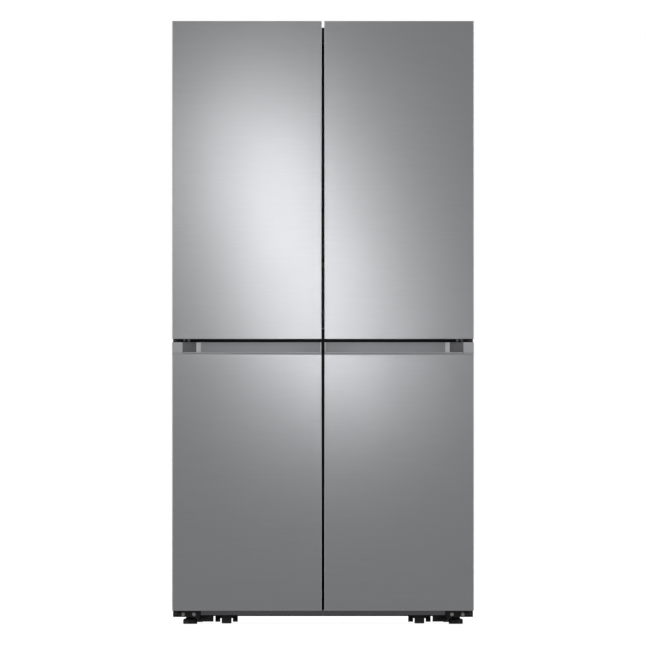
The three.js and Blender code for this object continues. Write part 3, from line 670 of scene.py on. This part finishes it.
# %% [markdown]
# ## Inner doors
#
# The inside of a door is a white sheet drawn over a mould, with a raised rim that the bins hang
# between, and foam fills it up to the steel. One cube is enough: four cuts mark the rim on its back
# face, and that area is grown out, inset and sunk again, with every bend rounded.

# %% Inner doors
RIM_WALL, RIM_HEIGHT = 12.0, 35.0
RIMS = {"upper": (60, 398, 915, 1737), "lower": (78, 408, 132, 765)}


def rim_corners(mesh, middle, half, radius):
    """Rounds the four corners of a rim that points along Y."""

    def at_corner(p):
        return all(abs(abs(p[i] - middle[i]) - half[i]) < 3 for i in (0, 2))

    round_edges(mesh, along(mesh, 1, at_corner), radius, 5)


for level, side in DOORS:
    u0, u1, z0, z1 = RIMS[level]
    node = f"{level}_{side}_door_liner"
    low, high = box_mm(node)
    back = box_mm(f"{level}_{side}_door_bottom_cap")[1].y
    top = {"upper": box_mm(f"upper_{side}_door_top_cap")[0].z - 0.3, "lower": 769.7}[level]
    mesh = block((CAP_INSET, low.y, low.z), (high.x - low.x + CAP_INSET, back, top))
    slice_at(mesh, 0, u0, u1)
    slice_at(mesh, 2, z0, z1)
    middle = Vector(((u0 + u1) / 2, 0, (z0 + z1) / 2))
    half = Vector(((u1 - u0) / 2, 0, (z1 - z0) / 2))
    face = facing(mesh, REAR, lambda p: u0 < p.x < u1 and z0 < p.z < z1)
    rim = grow(mesh, face, (0, RIM_HEIGHT, 0))
    inset(mesh, rim, RIM_WALL)
    grow(mesh, rim, (0, -RIM_HEIGHT, 0))
    rim_corners(mesh, middle, half, 14)
    rim_corners(mesh, middle, half - Vector((RIM_WALL, 0, RIM_WALL)), 7)
    crest = sharp_edges(mesh, 40, lambda p: p.y > back + RIM_HEIGHT - 1)
    round_edges(mesh, crest, 3.0, 4)
    stand_in(f"{level}_{side}_inner_door", to_side(mesh, side), door_white, node)
print("four inner doors")

# %% [markdown]
# ## Magnetic seals
#
# Each door carries a soft frame with a magnet strip inside and pleats along its sides, so that it
# can stretch a little before it lets go. The frame is a slab whose two faces are inset and joined
# through the middle, and a groove is then pressed into the walls all the way round.


# %% Magnetic seals
def door_box(node, side):
    """A door node's box with x turned into u."""
    low, high = box_mm(node)
    ends = [HALF + SIDES[side] * -x for x in (low.x, high.x)]
    low.x, high.x = min(ends), max(ends)
    return low, high


def ring(low, high, margin, axis):
    """A closed rectangular frame: a slab with a window through it along an axis."""
    mesh = block(low, high)
    faces = facing(mesh, unit(axis)) + facing(mesh, -unit(axis))
    inset(mesh, faces, margin)
    edges = [e for face in faces for e in face.edges]
    bmesh.ops.delete(mesh, geom=faces, context="FACES_ONLY")
    bmesh.ops.bridge_loops(mesh, edges=edges)
    return mesh


SEAL_WIDTH = 16
for level, side in DOORS:
    node = f"{level}_{side}_door_seal"
    low, high = door_box(node, side)
    mesh = ring(low, high, SEAL_WIDTH, 1)
    pleat_low, pleat_high = low.y + 4.5, low.y + 9.5
    slice_at(mesh, 1, pleat_low, pleat_high)
    mesh.normal_update()
    walls = [f for f in mesh.faces if abs(f.normal.y) < 0.1]
    pleat = [f for f in walls if pleat_low < f.calc_center_median().y < pleat_high]
    inset(mesh, pleat, 0.6, -2.2)
    stand_in(f"{level}_{side}_seal", to_side(mesh, side), seal_grey, node)
print("four seals")

# %% [markdown]
# ## Case and rear sheet
#
# The case is one long sheet folded over the top and down both sides, then folded in at the front to
# give the seals something to hold. Its front is a closed face at first, and what is left around the
# opening cut in it is that folded return. The rear sheet has shallow pressed panels that stop it
# from drumming.

# %% Case and rear sheet
low, high = box_mm("outer_case")
RETURN_EDGE = 414.5
RETURN_TOP = box_mm("fridge_liner")[1].z + 0.3
mesh = block(low, high)
slice_at(mesh, 0, -RETURN_EDGE, RETURN_EDGE)
slice_at(mesh, 2, RETURN_TOP)
opening = facing(mesh, AHEAD, lambda p: abs(p.x) < RETURN_EDGE and p.z < RETURN_TOP)
drop(mesh, opening + facing(mesh, REAR) + facing(mesh, DOWN))
flatten(mesh, 0.5)
round_edges(mesh, sharp_edges(mesh, 57), 3.0, 5)
thicken(mesh, SHEET)
stand_in("case_shell", mesh, case_paint, "outer_case")

low, high = box_mm("rear_panel")
low.z = box_mm("machine_cover")[1].z + 0.4
PRESS_DEPTH, PRESS_SLOPE, PRESS_MARGIN = 3.0, 9.0, 24.0
mesh = block(low, high)
drop(mesh, [f for f in mesh.faces if f.normal.y < 0.9])
slice_at(mesh, 0, -150, 150)
slice_at(mesh, 2, 780, 1290)
panels = mesh.faces[:]
bmesh.ops.inset_individual(mesh, faces=panels, thickness=PRESS_MARGIN, depth=0)
corners = [v for f in panels for v in f.verts]
round_edges(mesh, corners, 26, 5, "VERTICES")
panels = sorted(mesh.faces, key=lambda f: -f.calc_area())[: len(panels)]
bmesh.ops.inset_individual(mesh, faces=panels, thickness=PRESS_SLOPE, depth=-PRESS_DEPTH)
thicken(mesh, high.y - low.y)
stand_in("rear_sheet", mesh, zinc, "rear_panel", smooth=20)
# The crossmember behind the gaps takes the near-black painted shade finish.
refined("front_crossmember", frame_painted_shade, 0.6)
mesh = packed_copy("cabinet_foam")
foam_back = box_mm("cabinet_foam")[1].y
behind = [v for v in mesh.verts if v.co.y > foam_back - 0.1]
shift(mesh, (0, -PRESS_DEPTH, 0), behind)
stand_in("foam_core", mesh, foam_finish, "cabinet_foam")
print("case, rear sheet and foam")

# %% [markdown]
# ## Liners
#
# The compartments are drawn from white sheet, so every inside corner is rounded. The fridge liner is
# a box with its front taken off. The two lower liners step up at the back over the machine
# compartment, so they start as a side outline that is pulled across. The sheet's thickness goes
# outward, which keeps the inside at its true size.

# %% Liners
WALL = 2.0


def drawn_shell(mesh, radius):
    """Rounds a closed hollow's inside corners, opens its front and gives it a wall outside."""
    face_outward(mesh)
    drop(mesh, facing(mesh, AHEAD))
    round_edges(mesh, sharp_edges(mesh, 17), radius, 5)
    thicken(mesh, -WALL)
    return mesh


def runners(mesh, low, high, floor, back):
    """Two ribs on a compartment's floor for a tub to slide on."""
    for share in (0.15, 0.85):
        x = low.x + share * (high.x - low.x)
        softened_block((x - 9, low.y, floor - 0.5), (x + 9, back, low.z - 0.3), 1.2, 2, mesh)


low, high = box_mm("fridge_liner")
cavity_low, cavity_high = low + Vector((WALL, 0, WALL)), high - Vector((WALL, WALL, WALL))
lining = drawn_shell(block(cavity_low, cavity_high), 14)
stand_in("fridge_lining", lining, liner_white, "fridge_liner")

mesh = bmesh.new()
for shelf in ("glass_shelf_upper", "glass_shelf_middle", "crisper_cover_shelf"):
    shelf_low, shelf_high = box_mm(shelf)
    top = shelf_low.z - 0.3
    for s in (-1, 1):
        inner_x, outer_x = s * (shelf_high.x - 8), s * (cavity_high.x + 0.5)
        ledge = ((inner_x, shelf_low.y, top - 10), (outer_x, cavity_high.y, top))
        softened_block(*ledge, 2.5, 3, mesh)
for side in SIDES:
    tub_low, tub_high = box_mm(f"crisper_{side}")
    runners(mesh, tub_low, tub_high, cavity_low.z, cavity_high.y)
piece("shelf_ledges", mesh, liner_white, "cabinet")

STEP_BACK, STEP_FRONT, STEP_TOP, STEP_RUN = 112, 290, 320, 152
for s, node in ((-1, "freezer_liner"), (1, "flex_zone_liner")):
    low, high = box_mm(node)
    inner_x = s * (min(abs(low.x), abs(high.x)) + WALL)
    outer_x = s * (box_mm("fridge_liner")[1].x - 20)
    floor, top, back = low.z + WALL, high.z - WALL, high.y - WALL
    outline = [(low.y, floor), (STEP_BACK, floor), (STEP_BACK, STEP_FRONT), (STEP_RUN, STEP_TOP)]
    outline += [(back, STEP_TOP), (back, top), (low.y, top)]
    mesh = bmesh.new()
    face = mesh.faces.new([mesh.verts.new((inner_x, y, z)) for y, z in outline])
    grow(mesh, [face], (outer_x - inner_x, 0, 0), base=True)
    drawn_shell(mesh, 12)
    flange_edge = s * max(abs(low.x), abs(high.x))
    block((outer_x + s * WALL, low.y, low.z), (flange_edge, low.y + WALL, high.z), mesh)
    stand_in(node.replace("_liner", "_lining"), mesh, liner_white, node)
    mesh = bmesh.new()
    zone = node.split("_")[0]
    rail_low = box_mm(f"{zone}_drawer_upper")[0]
    for x0, x1 in ((inner_x - s * 0.5, inner_x + s * 14), (outer_x + s * 0.5, outer_x - s * 14)):
        rail = ((x0, rail_low.y, rail_low.z - 12.3), (x1, back + 0.5, rail_low.z - 0.3))
        softened_block(*rail, 2.0, 3, mesh)
    tub_low, tub_high = box_mm(f"{zone}_drawer_lower")
    runners(mesh, tub_low, tub_high, floor, tub_high.y)
    piece(f"{zone}_rails", mesh, liner_white, "cabinet")
print("three liners")

# %% [markdown]
# ## Air covers and lamps
#
# Cold air comes up behind a cover on the back wall and out through rows of slots: its face is cut
# into cells and some of them are pushed in. Each compartment has a lamp under its ceiling.


# %% Air covers and lamps
def air_cover(name, low, high, columns, rows):
    """A raised cover with rows of slots on its front face."""
    mesh = block(low, high)
    low, high = Vector(low), Vector(high)
    margin = Vector((26, 0, 30))
    field_low, field_high = low + margin, high - margin
    step_x = (field_high.x - field_low.x) / (2 * columns - 1)
    step_z = (field_high.z - field_low.z) / (6 * rows - 5)
    slice_at(mesh, 0, *(field_low.x + i * step_x for i in range(2 * columns)))
    slice_at(mesh, 2, *(field_low.z + (6 * j + k) * step_z for j in range(rows) for k in (0, 1)))

    def in_slot(p):
        column, row = (p.x - field_low.x) / step_x, (p.z - field_low.z) / step_z
        inside = 0 < column < 2 * columns - 1 and 0 < row < 6 * rows - 5
        return inside and int(column) % 2 == 0 and row % 6 < 1

    def on_rim(p):
        among_slots = all(field_low[i] - 1 < p[i] < field_high[i] + 1 for i in (0, 2))
        return p.y < low.y + 0.1 and not among_slots

    for face in facing(mesh, AHEAD, in_slot):
        grow(mesh, [face], (0, 5, 0))
    round_edges(mesh, sharp_edges(mesh, 60, on_rim), 2.5, 3)
    piece(name, mesh, liner_white, "cabinet")


cover_front = box_mm("glass_shelf_upper")[1].y + 1.5
cover_back = cavity_high.y + 0.5
air_cover("fridge_air_cover", (-150, cover_front, 1130), (150, cover_back, 1730), 6, 5)
for zone in ("freezer", "flex"):
    low, high = box_mm(f"{zone}_drawer_upper")
    middle = (low.x + high.x) / 2
    air_cover(f"{zone}_air_cover", (middle - 130, 286, 590), (middle + 130, cover_back, 800), 5, 3)
    bar(f"{zone}_lamp", (middle - 60, -60, 816), (middle + 60, 0, 822.5), 2.5, 3, lamp_cover)
top = cavity_high.z
bar("fridge_lamp", (-190, -110, top - 9), (190, -20, top + 0.5), 4, 3, lamp_cover)
print("air covers and lamps")

# %% [markdown]
# ## Shelves
#
# A shelf is a pane of tempered glass in a moulded frame. The frame is a ring like the seals, with
# its front side grown into a nose that keeps a spill on the glass and its back side into a fence.

# %% Shelves
for node in ("glass_shelf_upper", "glass_shelf_middle", "crisper_cover_shelf"):
    low, high = box_mm(node)
    mesh = ring(low, (high.x, high.y, low.z + 5), 12, 2)
    mesh.normal_update()
    tops = facing(mesh, UP)
    nose = [f for f in tops if f.calc_center_median().y < low.y + 12]
    fence = [f for f in tops if f.calc_center_median().y > high.y - 12]
    grow(mesh, nose, (0, 0, 7))
    raised = grow(mesh, fence, (0, 0, 15))
    for vert in raised[0].verts:
        vert.co.y = max(vert.co.y, high.y - 6)
    round_edges(mesh, sharp_edges(mesh, 40, lambda p: p.z > low.z + 5.5 or p.y < low.y + 1), 1.6, 3)
    stand_in(node + "_frame", mesh, trim_grey, node)
    pane_low, pane_high = (low.x + 9, low.y + 9, low.z + 0.6), (high.x - 9, high.y - 9, low.z + 4.6)
    stand_in(node + "_pane", softened_block(pane_low, pane_high, 0.8, 2), shelf_glass, node)
print("three shelves")

# %% [markdown]
# ## Drawers, crispers and door bins
#
# All of these are thin clear mouldings with round corners, open at the top. A slab gets its upright
# and lower edges rounded, loses its top, and is given a wall inward. A drawer has a thicker front
# with a lip along the top that the fingers hook under.


# %% Drawers, crispers and door bins
FRONT_PANEL, TUB_WALL = 6.0, 2.6


def tub(low, high, corner, foot):
    """An open tub with rounded corners."""
    mesh = block(low, high)
    round_edges(mesh, along(mesh, 2), corner, 5)
    drop(mesh, facing(mesh, UP))
    base = [e for e in mesh.edges if max(v.co.z for v in e.verts) < low.z + 0.1]
    round_edges(mesh, base, foot, 4)
    thicken(mesh, TUB_WALL)
    return mesh


def drawer_front(low, high):
    """A front panel with a finger lip behind its top edge."""
    mesh = block(low, (high.x, low.y + 7, high.z))
    slice_at(mesh, 2, high.z - 5)
    grow(mesh, facing(mesh, REAR, lambda p: p.z > high.z - 5), (0, 9, 0))
    return round_edges(mesh, sharp_edges(mesh, 60), 1.3, 3)


drawers = [f"crisper_{side}" for side in SIDES]
for zone in ("freezer", "flex"):
    drawers += [f"{zone}_drawer_upper", f"{zone}_drawer_lower"]
for node in drawers:
    low, high = box_mm(node)
    shell = tub(low + Vector((2, FRONT_PANEL, 0)), high - Vector((2, 0, 3)), 12, 7)
    stand_in(node + "_tub", shell, clear_plastic, node)
    stand_in(node + "_front", drawer_front(low, high), frosted, node)
    grip_low, grip_high = (low.x + 8, low.y - 1.2, high.z - 30), (high.x - 8, low.y + 1, high.z - 8)
    bar(node + "_grip", grip_low, grip_high, 0.9, 2, trim_grey, body_of(node))
for level, side in DOORS:
    node = f"door_bin_{side}_{level}"
    low, high = box_mm(node)
    stand_in(node + "_tub", tub(low, high, 16, 9), clear_plastic, node)
    rail = block((low.x + 1, high.y - 6, high.z - 16), (high.x - 1, high.y + 1.4, high.z + 1.5))
    round_edges(rail, along(rail, 2, lambda p: p.y > high.y), 12, 5)
    round_edges(rail, sharp_edges(rail, 60), 1.2, 3)
    piece(node + "_rail", rail, trim_grey, body_of(node))
    mesh = bmesh.new()
    for x0, x1 in ((low.x - 1.9, low.x + 1.5), (high.x - 1.5, high.x + 1.9)):
        softened_block((x0, low.y + 4, low.z + 55), (x1, low.y + 24, high.z - 12), 1.0, 2, mesh)
    piece(node + "_hooks", mesh, trim_grey, body_of(node))
print("six drawers and four bins")

# %% [markdown]
# ## Folding post
#
# The left door carries a post that swings out behind the gap between the two doors, so that both
# seals have something to close on. It turns on two brackets, and the side that meets the seals has a
# painted steel face for the magnets.

# %% Folding post
post_low, post_high = box_mm("folding_post")
refined("folding_post", cap_grey, 1.2, 2, 50)
post_y = post_low.y + (post_high.x - post_low.x) / 2
face_low = (post_high.x - 0.8, post_y, post_low.z + 12)
face_high = (post_high.x + 0.25, post_high.y - 3, post_high.z - 12)
bar("folding_post_face", face_low, face_high, 0.2, 1, case_paint, "folding_post_body")
post_x = (post_low.x + post_high.x) / 2
door_back = box_mm("upper_left_door_top_cap")[1].y
mesh = bmesh.new()
for z, pin in ((post_low.z - 6, (2, 14)), (post_high.z + 1, (-9, 3))):
    softened_block((post_x - 10, door_back - 1, z), (post_x + 5, post_y + 8, z + 5), 1.2, 2, mesh)
    turned([(0, pin[0]), (3, pin[0]), (3, pin[1]), (0, pin[1])], (post_x, post_y, z), 2, 20, mesh)
piece("folding_post_brackets", mesh, cap_grey, "upper_left_door", ("upper_left_door_liner",))
print("folding post")

# %% [markdown]
# ## Hinges and their screws
#
# The doors turn on pins held by pressed brackets. The lowest pair shows under the doors, each with
# two screws in the dark front beam. A screw head is a flat cone, with a recess for the driver sunk
# into its top.


# %% Hinges and their screws
def screw_heads(name, places, way, radius, height=2.2):
    """Pan heads with a sunk drive, on a face that looks forward (-1) or back (1)."""
    mesh = bmesh.new()
    for place in places:
        head = bmesh.new()
        radii = {"radius1": radius, "radius2": radius * 0.72}
        bmesh.ops.create_cone(head, cap_ends=True, segments=24, depth=height, **radii)
        top = facing(head, UP)
        bmesh.ops.inset_region(head, faces=top, thickness=radius * 0.3)
        grow(head, top, (0, 0, -height * 0.6))
        shift(head, (0, 0, height / 2))
        turn = unit(1, way).to_track_quat("Z", "Y").to_matrix()
        bmesh.ops.rotate(head, matrix=turn, verts=head.verts)
        shift(head, place)
        join(mesh, head)
    piece(name, mesh, screw_zinc, "cabinet", smooth=40)


for side, s in SIDES.items():
    refined(f"top_hinge_{side}", zinc, 0.8)
    refined(f"top_hinge_cover_{side}", cap_grey, 2.0, 3, 25, lambda p: p.z > HEIGHT - 17)
    refined(f"middle_hinge_{side}", powder, 0.7)
    refined(f"bottom_hinge_{side}", powder, 0.7)
    plate_front = box_mm(f"bottom_hinge_{side}")[1].y - 3
    places = [(s * (HALF - u), plate_front, 29.6) for u in (32.6, 65.6)]
    screw_heads(f"bottom_hinge_screws_{side}", places, -1, 6, 2.6)
    plate_front = box_mm(f"middle_hinge_{side}")[1].y - 4
    places = [(s * x, plate_front, 858) for x in (406, 420)]
    screw_heads(f"middle_hinge_screws_{side}", places, -1, 4.5, 1.8)
print("hinges")

# %% [markdown]
# ## Base, feet and rollers
#
# The base pan is pressed steel with folded skids and forks. The levelling feet are dark mouldings
# with a ribbed edge for turning them by hand. Round parts are spun from their outline, and the
# ribs are every other face of the foot's edge pushed out a little.

# %% Base, feet and rollers
refined("base_frame", powder, 0.5)
hinge_high = box_mm("bottom_hinge_left")[1]
beam_front, toe_half = hinge_high.y, -hinge_high.x - 1
toe_low, toe_high = (-toe_half, beam_front - 1.4, 26.7), (toe_half, beam_front + 0.4, 44)
bar("toe_strip", toe_low, toe_high, 0.6, 2, toe_grey)
lip_low, lip_high = (-toe_half, beam_front - 2.2, 23.7), (toe_half, beam_front + 0.2, 26.9)
bar("toe_lip", lip_low, lip_high, 0.8, 2, black_plastic)
for side in SIDES:
    node = f"levelling_foot_{side}"
    low, high = box_mm(node)
    centre = (low + high) / 2
    radius = (high.x - low.x) / 2
    rim = radius - 0.3
    pad = [(0, 0), (rim - 1.5, 0), (rim, 1.5), (rim, 12.5), (rim - 2.5, 15.5)]
    nut_and_stud = [(14, 16.5), (12.6, 19), (12.6, 24.6), (6, 24.6), (6, 41), (5, 42), (0, 42)]
    mesh = turned(pad + nut_and_stud, (centre.x, centre.y, 0), 2, 48)
    mesh.normal_update()

    def outward(face):
        return face.calc_center_median() - centre

    upright = [f for f in mesh.faces if abs(f.normal.z) < 0.1 and outward(f).xy.length > radius - 2]
    edge_faces = [f for f in upright if 1 < f.calc_center_median().z < 12.6]
    edge_faces.sort(key=lambda f: math.atan2(*outward(f).xy))
    for face in edge_faces[::2]:
        grow(mesh, [face], face.normal * 0.9)
    stand_in(f"foot_{side}", mesh, black_plastic, node, smooth=25)
    for end in ("front", "rear"):
        node = f"roller_{end}_{side}"
        low, high = box_mm(node)
        centre = (low + high) / 2
        reach, half = (high.z - low.z) / 2, (high.x - low.x) / 2
        far_side = [(4.5, half), (8, half), (8, half - 2), (reach - 5, half - 2)]
        far_side += [(reach - 4, half), (reach - 2, half), (reach, half - 2)]
        near_side = [(distance, -along_axle) for distance, along_axle in far_side]
        mesh = turned(near_side + far_side[::-1] + near_side[:1], centre, 0, 48)
        stand_in(f"roller_{end}_{side}_wheel", mesh, black_plastic, node, smooth=30)
print("feet and rollers")

# %% [markdown]
# ## Machine compartment
#
# At the bottom of the back, a slotted cover hides the compressor, the finned condenser and its fan.
# The compressor is a drawn steel pot in two halves with a weld bead around it. Thin fins are added
# between the condenser's plates, and the fan has five twisted blades round its hub. The slots come
# from slicing a flat sheet into cells and dropping some, which keeps its shading clean.

# %% Machine compartment
COVER_SHEET, PANEL_HALF, PANEL_LOW, PANEL_HIGH = 2, 385, 105, 247
SLOT_ROWS, SLOT_HEIGHT, SLOT_HALF, SLOT_PITCH = (130, 170, 210), 12, 26, 680 / 9
low, high = box_mm("machine_cover")
cover_back = low.y + COVER_SHEET
mesh = block(low, (high.x, cover_back, high.z))
drop(mesh, [f for f in mesh.faces if f.normal.y < 0.9])
slice_at(mesh, 0, -PANEL_HALF, PANEL_HALF)
slice_at(mesh, 2, PANEL_LOW, PANEL_HIGH)
panel = facing(mesh, REAR, lambda p: abs(p.x) < PANEL_HALF and PANEL_LOW < p.z < PANEL_HIGH)
inset(mesh, panel, 5, 3)
slot_middles = [i * SLOT_PITCH - 340 for i in range(10)]
slice_at(mesh, 0, *(middle + half for middle in slot_middles for half in (-SLOT_HALF, SLOT_HALF)))
slice_at(mesh, 2, *(z for row in SLOT_ROWS for z in (row, row + SLOT_HEIGHT)))


def in_slot(p):
    in_column = any(abs(p.x - middle) < SLOT_HALF for middle in slot_middles)
    return in_column and any(row < p.z < row + SLOT_HEIGHT for row in SLOT_ROWS)


drop(mesh, facing(mesh, REAR, in_slot))
thicken(mesh, COVER_SHEET)
stand_in("machine_cover_plate", mesh, powder, "machine_cover", smooth=20)
gland = [(0, -1), (13, -1), (13, 2), (11, 3.5), (9, 7), (4.5, 7), (4.5, 3), (0, 3)]
inlet = [(0, -1), (9, -1), (9, 1.5), (7, 1.5), (7, 6.5), (6.4, 7), (5, 7), (5, 2), (0, 2)]
for name, outline, x, finish in (
    ("cord_gland", gland, -410, black_plastic),
    ("water_inlet", inlet, 410, screw_zinc),
):
    stand_in(name, turned(outline, (x, cover_back, 90), 1), finish, "machine_cover")
places = [(x, 354, z) for x in (-430, -215, 0, 215, 430) for z in (60, 284)]
screw_heads("machine_cover_screws", places, 1, 5)
panel_back = box_mm("rear_panel")[1].y
places = [(x, panel_back - 0.9, z) for x in (-441, 441) for z in range(360, 1800, 235)]
screw_heads("rear_sheet_screws", places, 1, 4, 0.9)

low, high = box_mm("compressor")
centre = Vector(((low.x + high.x) / 2, (low.y + high.y) / 2, 0))
pot_radius, pot_low, pot_high = 72.0, low.z + 18.7, high.z
seam = pot_low + 70
wall, bead = pot_radius - 1, pot_radius + 1.5
outline = [(0, pot_low), (pot_radius * 0.72, pot_low), (pot_radius * 0.93, pot_low + 8)]
outline += [(wall, pot_low + 22), (wall, seam - 4), (bead, seam - 2), (bead, seam + 2)]
outline += [(wall, seam + 4), (wall, pot_high - 46), (pot_radius * 0.95, pot_high - 28)]
outline += [(pot_radius * 0.78, pot_high - 11), (pot_radius * 0.42, pot_high - 2), (0, pot_high)]
mesh = turned(outline, centre, 2, 48)
plate = (centre.x - 98, centre.y - 60, pot_low - 4), (centre.x + 98, centre.y + 60, pot_low + 2)
softened_block(*plate, 1.5, 2, mesh)
stand_in("compressor_pot", mesh, powder, "compressor")
mesh = bmesh.new()
grommet = [(0, 0), (12, 0), (12, 5), (9, 7), (9, 10), (11, 12), (11, 15.5), (0, 15.5)]
for x in (-84, 84):
    for y in (-48, 48):
        turned(grommet, (centre.x + x, centre.y + y, low.z), 2, 24, mesh)
stand_in("compressor_mounts", mesh, black_plastic, "compressor")

refined("condenser", fin_metal, 0.4, 1, 50)
mesh = bmesh.new()
for gap in range(7):
    for fin in range(5):
        x = -330 + gap * 25 + 7.5 + fin * 3.5
        block((x, 201, 57), (x + 0.5, 329, 205), mesh)
piece("condenser_fins", mesh, fin_metal, "cabinet")

low, high = box_mm("condenser_fan")
hub_centre = Vector(((low.x + high.x) / 2, 265, 140))
hub = [(4.6, -11), (17, -11), (20, -8), (20, 8), (17, 11), (4.6, 11), (4.6, -11)]
mesh = turned(hub, hub_centre, 0, 40)
blade = bmesh.new()
bmesh.ops.create_grid(blade, x_segments=6, y_segments=6, size=1)
resize(blade, (22, 24, 1))
for vert in blade.verts:
    reach = 42 + vert.co.y
    pitch = math.radians(62 - 0.35 * (reach - 18))
    chord = vert.co.x * (0.8 + 0.2 * reach / 66)
    bow = 2.5 * (1 - (vert.co.x / 22) ** 2)
    vert.co = Vector((chord * math.cos(pitch) * 0.5 + bow, chord * math.sin(pitch), reach))
thicken(blade, 1.4)
for i in range(5):
    copy = blade.copy()
    bmesh.ops.rotate(copy, matrix=Matrix.Rotation(i * math.tau / 5, 3, "X"), verts=copy.verts)
    shift(copy, hub_centre)
    join(mesh, copy)
stand_in("condenser_fan_wheel", mesh, black_plastic, "condenser_fan")

discharge = [(235, 264, 222), (235, 290, 244), (60, 300, 244), (-150, 300, 236), (-150, 300, 200)]
suction = [(170, 240, 170), (150, 225, 205), (150, 200, 240), (150, 186, 256), (150, 180, 260)]
for name, route in (("discharge_pipe", discharge), ("suction_pipe", suction)):
    curve = bpy.data.curves.new(name, "CURVE")
    curve.dimensions = "3D"
    curve.bevel_depth = 3.2 * MM
    curve.bevel_resolution = 4
    spline = curve.splines.new("BEZIER")
    spline.bezier_points.add(len(route) - 1)
    for point, place in zip(spline.bezier_points, route):
        point.co = Vector(place) * MM
        point.handle_left_type = point.handle_right_type = "AUTO"
    curve.materials.append(copper.material)
    pipe = placed(name, curve)
    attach(pipe, "cabinet")
print("machine compartment")

# %% [markdown]
# ## Lights, floor and world
#
# Brushed steel shows whatever stands in front of it, so the room is an even dim grey and one tall
# narrow light, rolled a little, draws the slanting highlight. The camera itself sees white all
# round. The floor gives off light of its own, because its far end gets none, and it's hidden from
# reflections so that it doesn't brighten the lower doors.

# %% Lights, floor and world
SURROUND = 0.27
WHITE = (1, 1, 1, 1)
world = bpy.data.worlds.new("studio")
world.use_nodes = True
scene.world = world
sky = Nodes(world.node_tree)
seen_by_camera = sky.add("ShaderNodeLightPath", output="Is Camera Ray")
background = world.node_tree.nodes["Background"]
background.inputs["Color"].default_value = WHITE
sky.join(seen_by_camera * (1 - SURROUND) + SURROUND, background.inputs["Strength"])

FLOOR_REACH, FLOOR_GLOW = 30, 0.96
floor_data = bpy.data.meshes.new("floor")
floor_mesh = bmesh.new()
bmesh.ops.create_grid(floor_mesh, x_segments=1, y_segments=1, size=FLOOR_REACH)
floor_mesh.to_mesh(floor_data)
floor_mesh.free()
floor = placed("floor", floor_data)
glow = {"Emission_Color": WHITE, "Emission_Strength": FLOOR_GLOW}
floor_data.materials.append(Finish("floor", (0.12, 0.12, 0.12), 0.9, **glow).material)
floor.visible_glossy = False
floor.visible_diffuse = False


def soft_light(name, power, size, place, aim, roll=0, spread=180):
    """A rectangular light that points at a place, rolled about its own line of sight."""
    data = bpy.data.lights.new(name, "AREA")
    data.shape = "RECTANGLE"
    data.size, data.size_y = size
    data.energy = power
    data.spread = math.radians(spread)
    light = placed(name, data)
    light.location = place
    line = (Vector(aim) - Vector(place)).to_track_quat("-Z", "Y")
    turn = Matrix.Rotation(math.radians(roll), 3, "Z").to_quaternion()
    light.rotation_euler = (line @ turn).to_euler()
    light.visible_camera = False


soft_light("key", 0.71, (0.2, 0.96), (-0.08, -1.46, 1.14), (-0.08, 0, 1.14), roll=19, spread=84)
soft_light("front_top", 0.6, (2.4, 0.6), (0, -2.9, 3.1), (0, -0.36, 0.82))
soft_light("overhead", 30, (3, 3), (0, 0.6, 4.0), (0, 0.6, 0))
soft_light("left_fill", 40, (1.6, 2.4), (-4.2, -2.6, 1.5), (0, 0, 1.0))
soft_light("right_fill", 40, (1.6, 2.4), (4.2, -2.6, 1.5), (0, 0, 1.0))
soft_light("rear_fill", 60, (2.4, 2.4), (0.5, 4.5, 2.0), (0, 0, 1.0))
print("six lights")
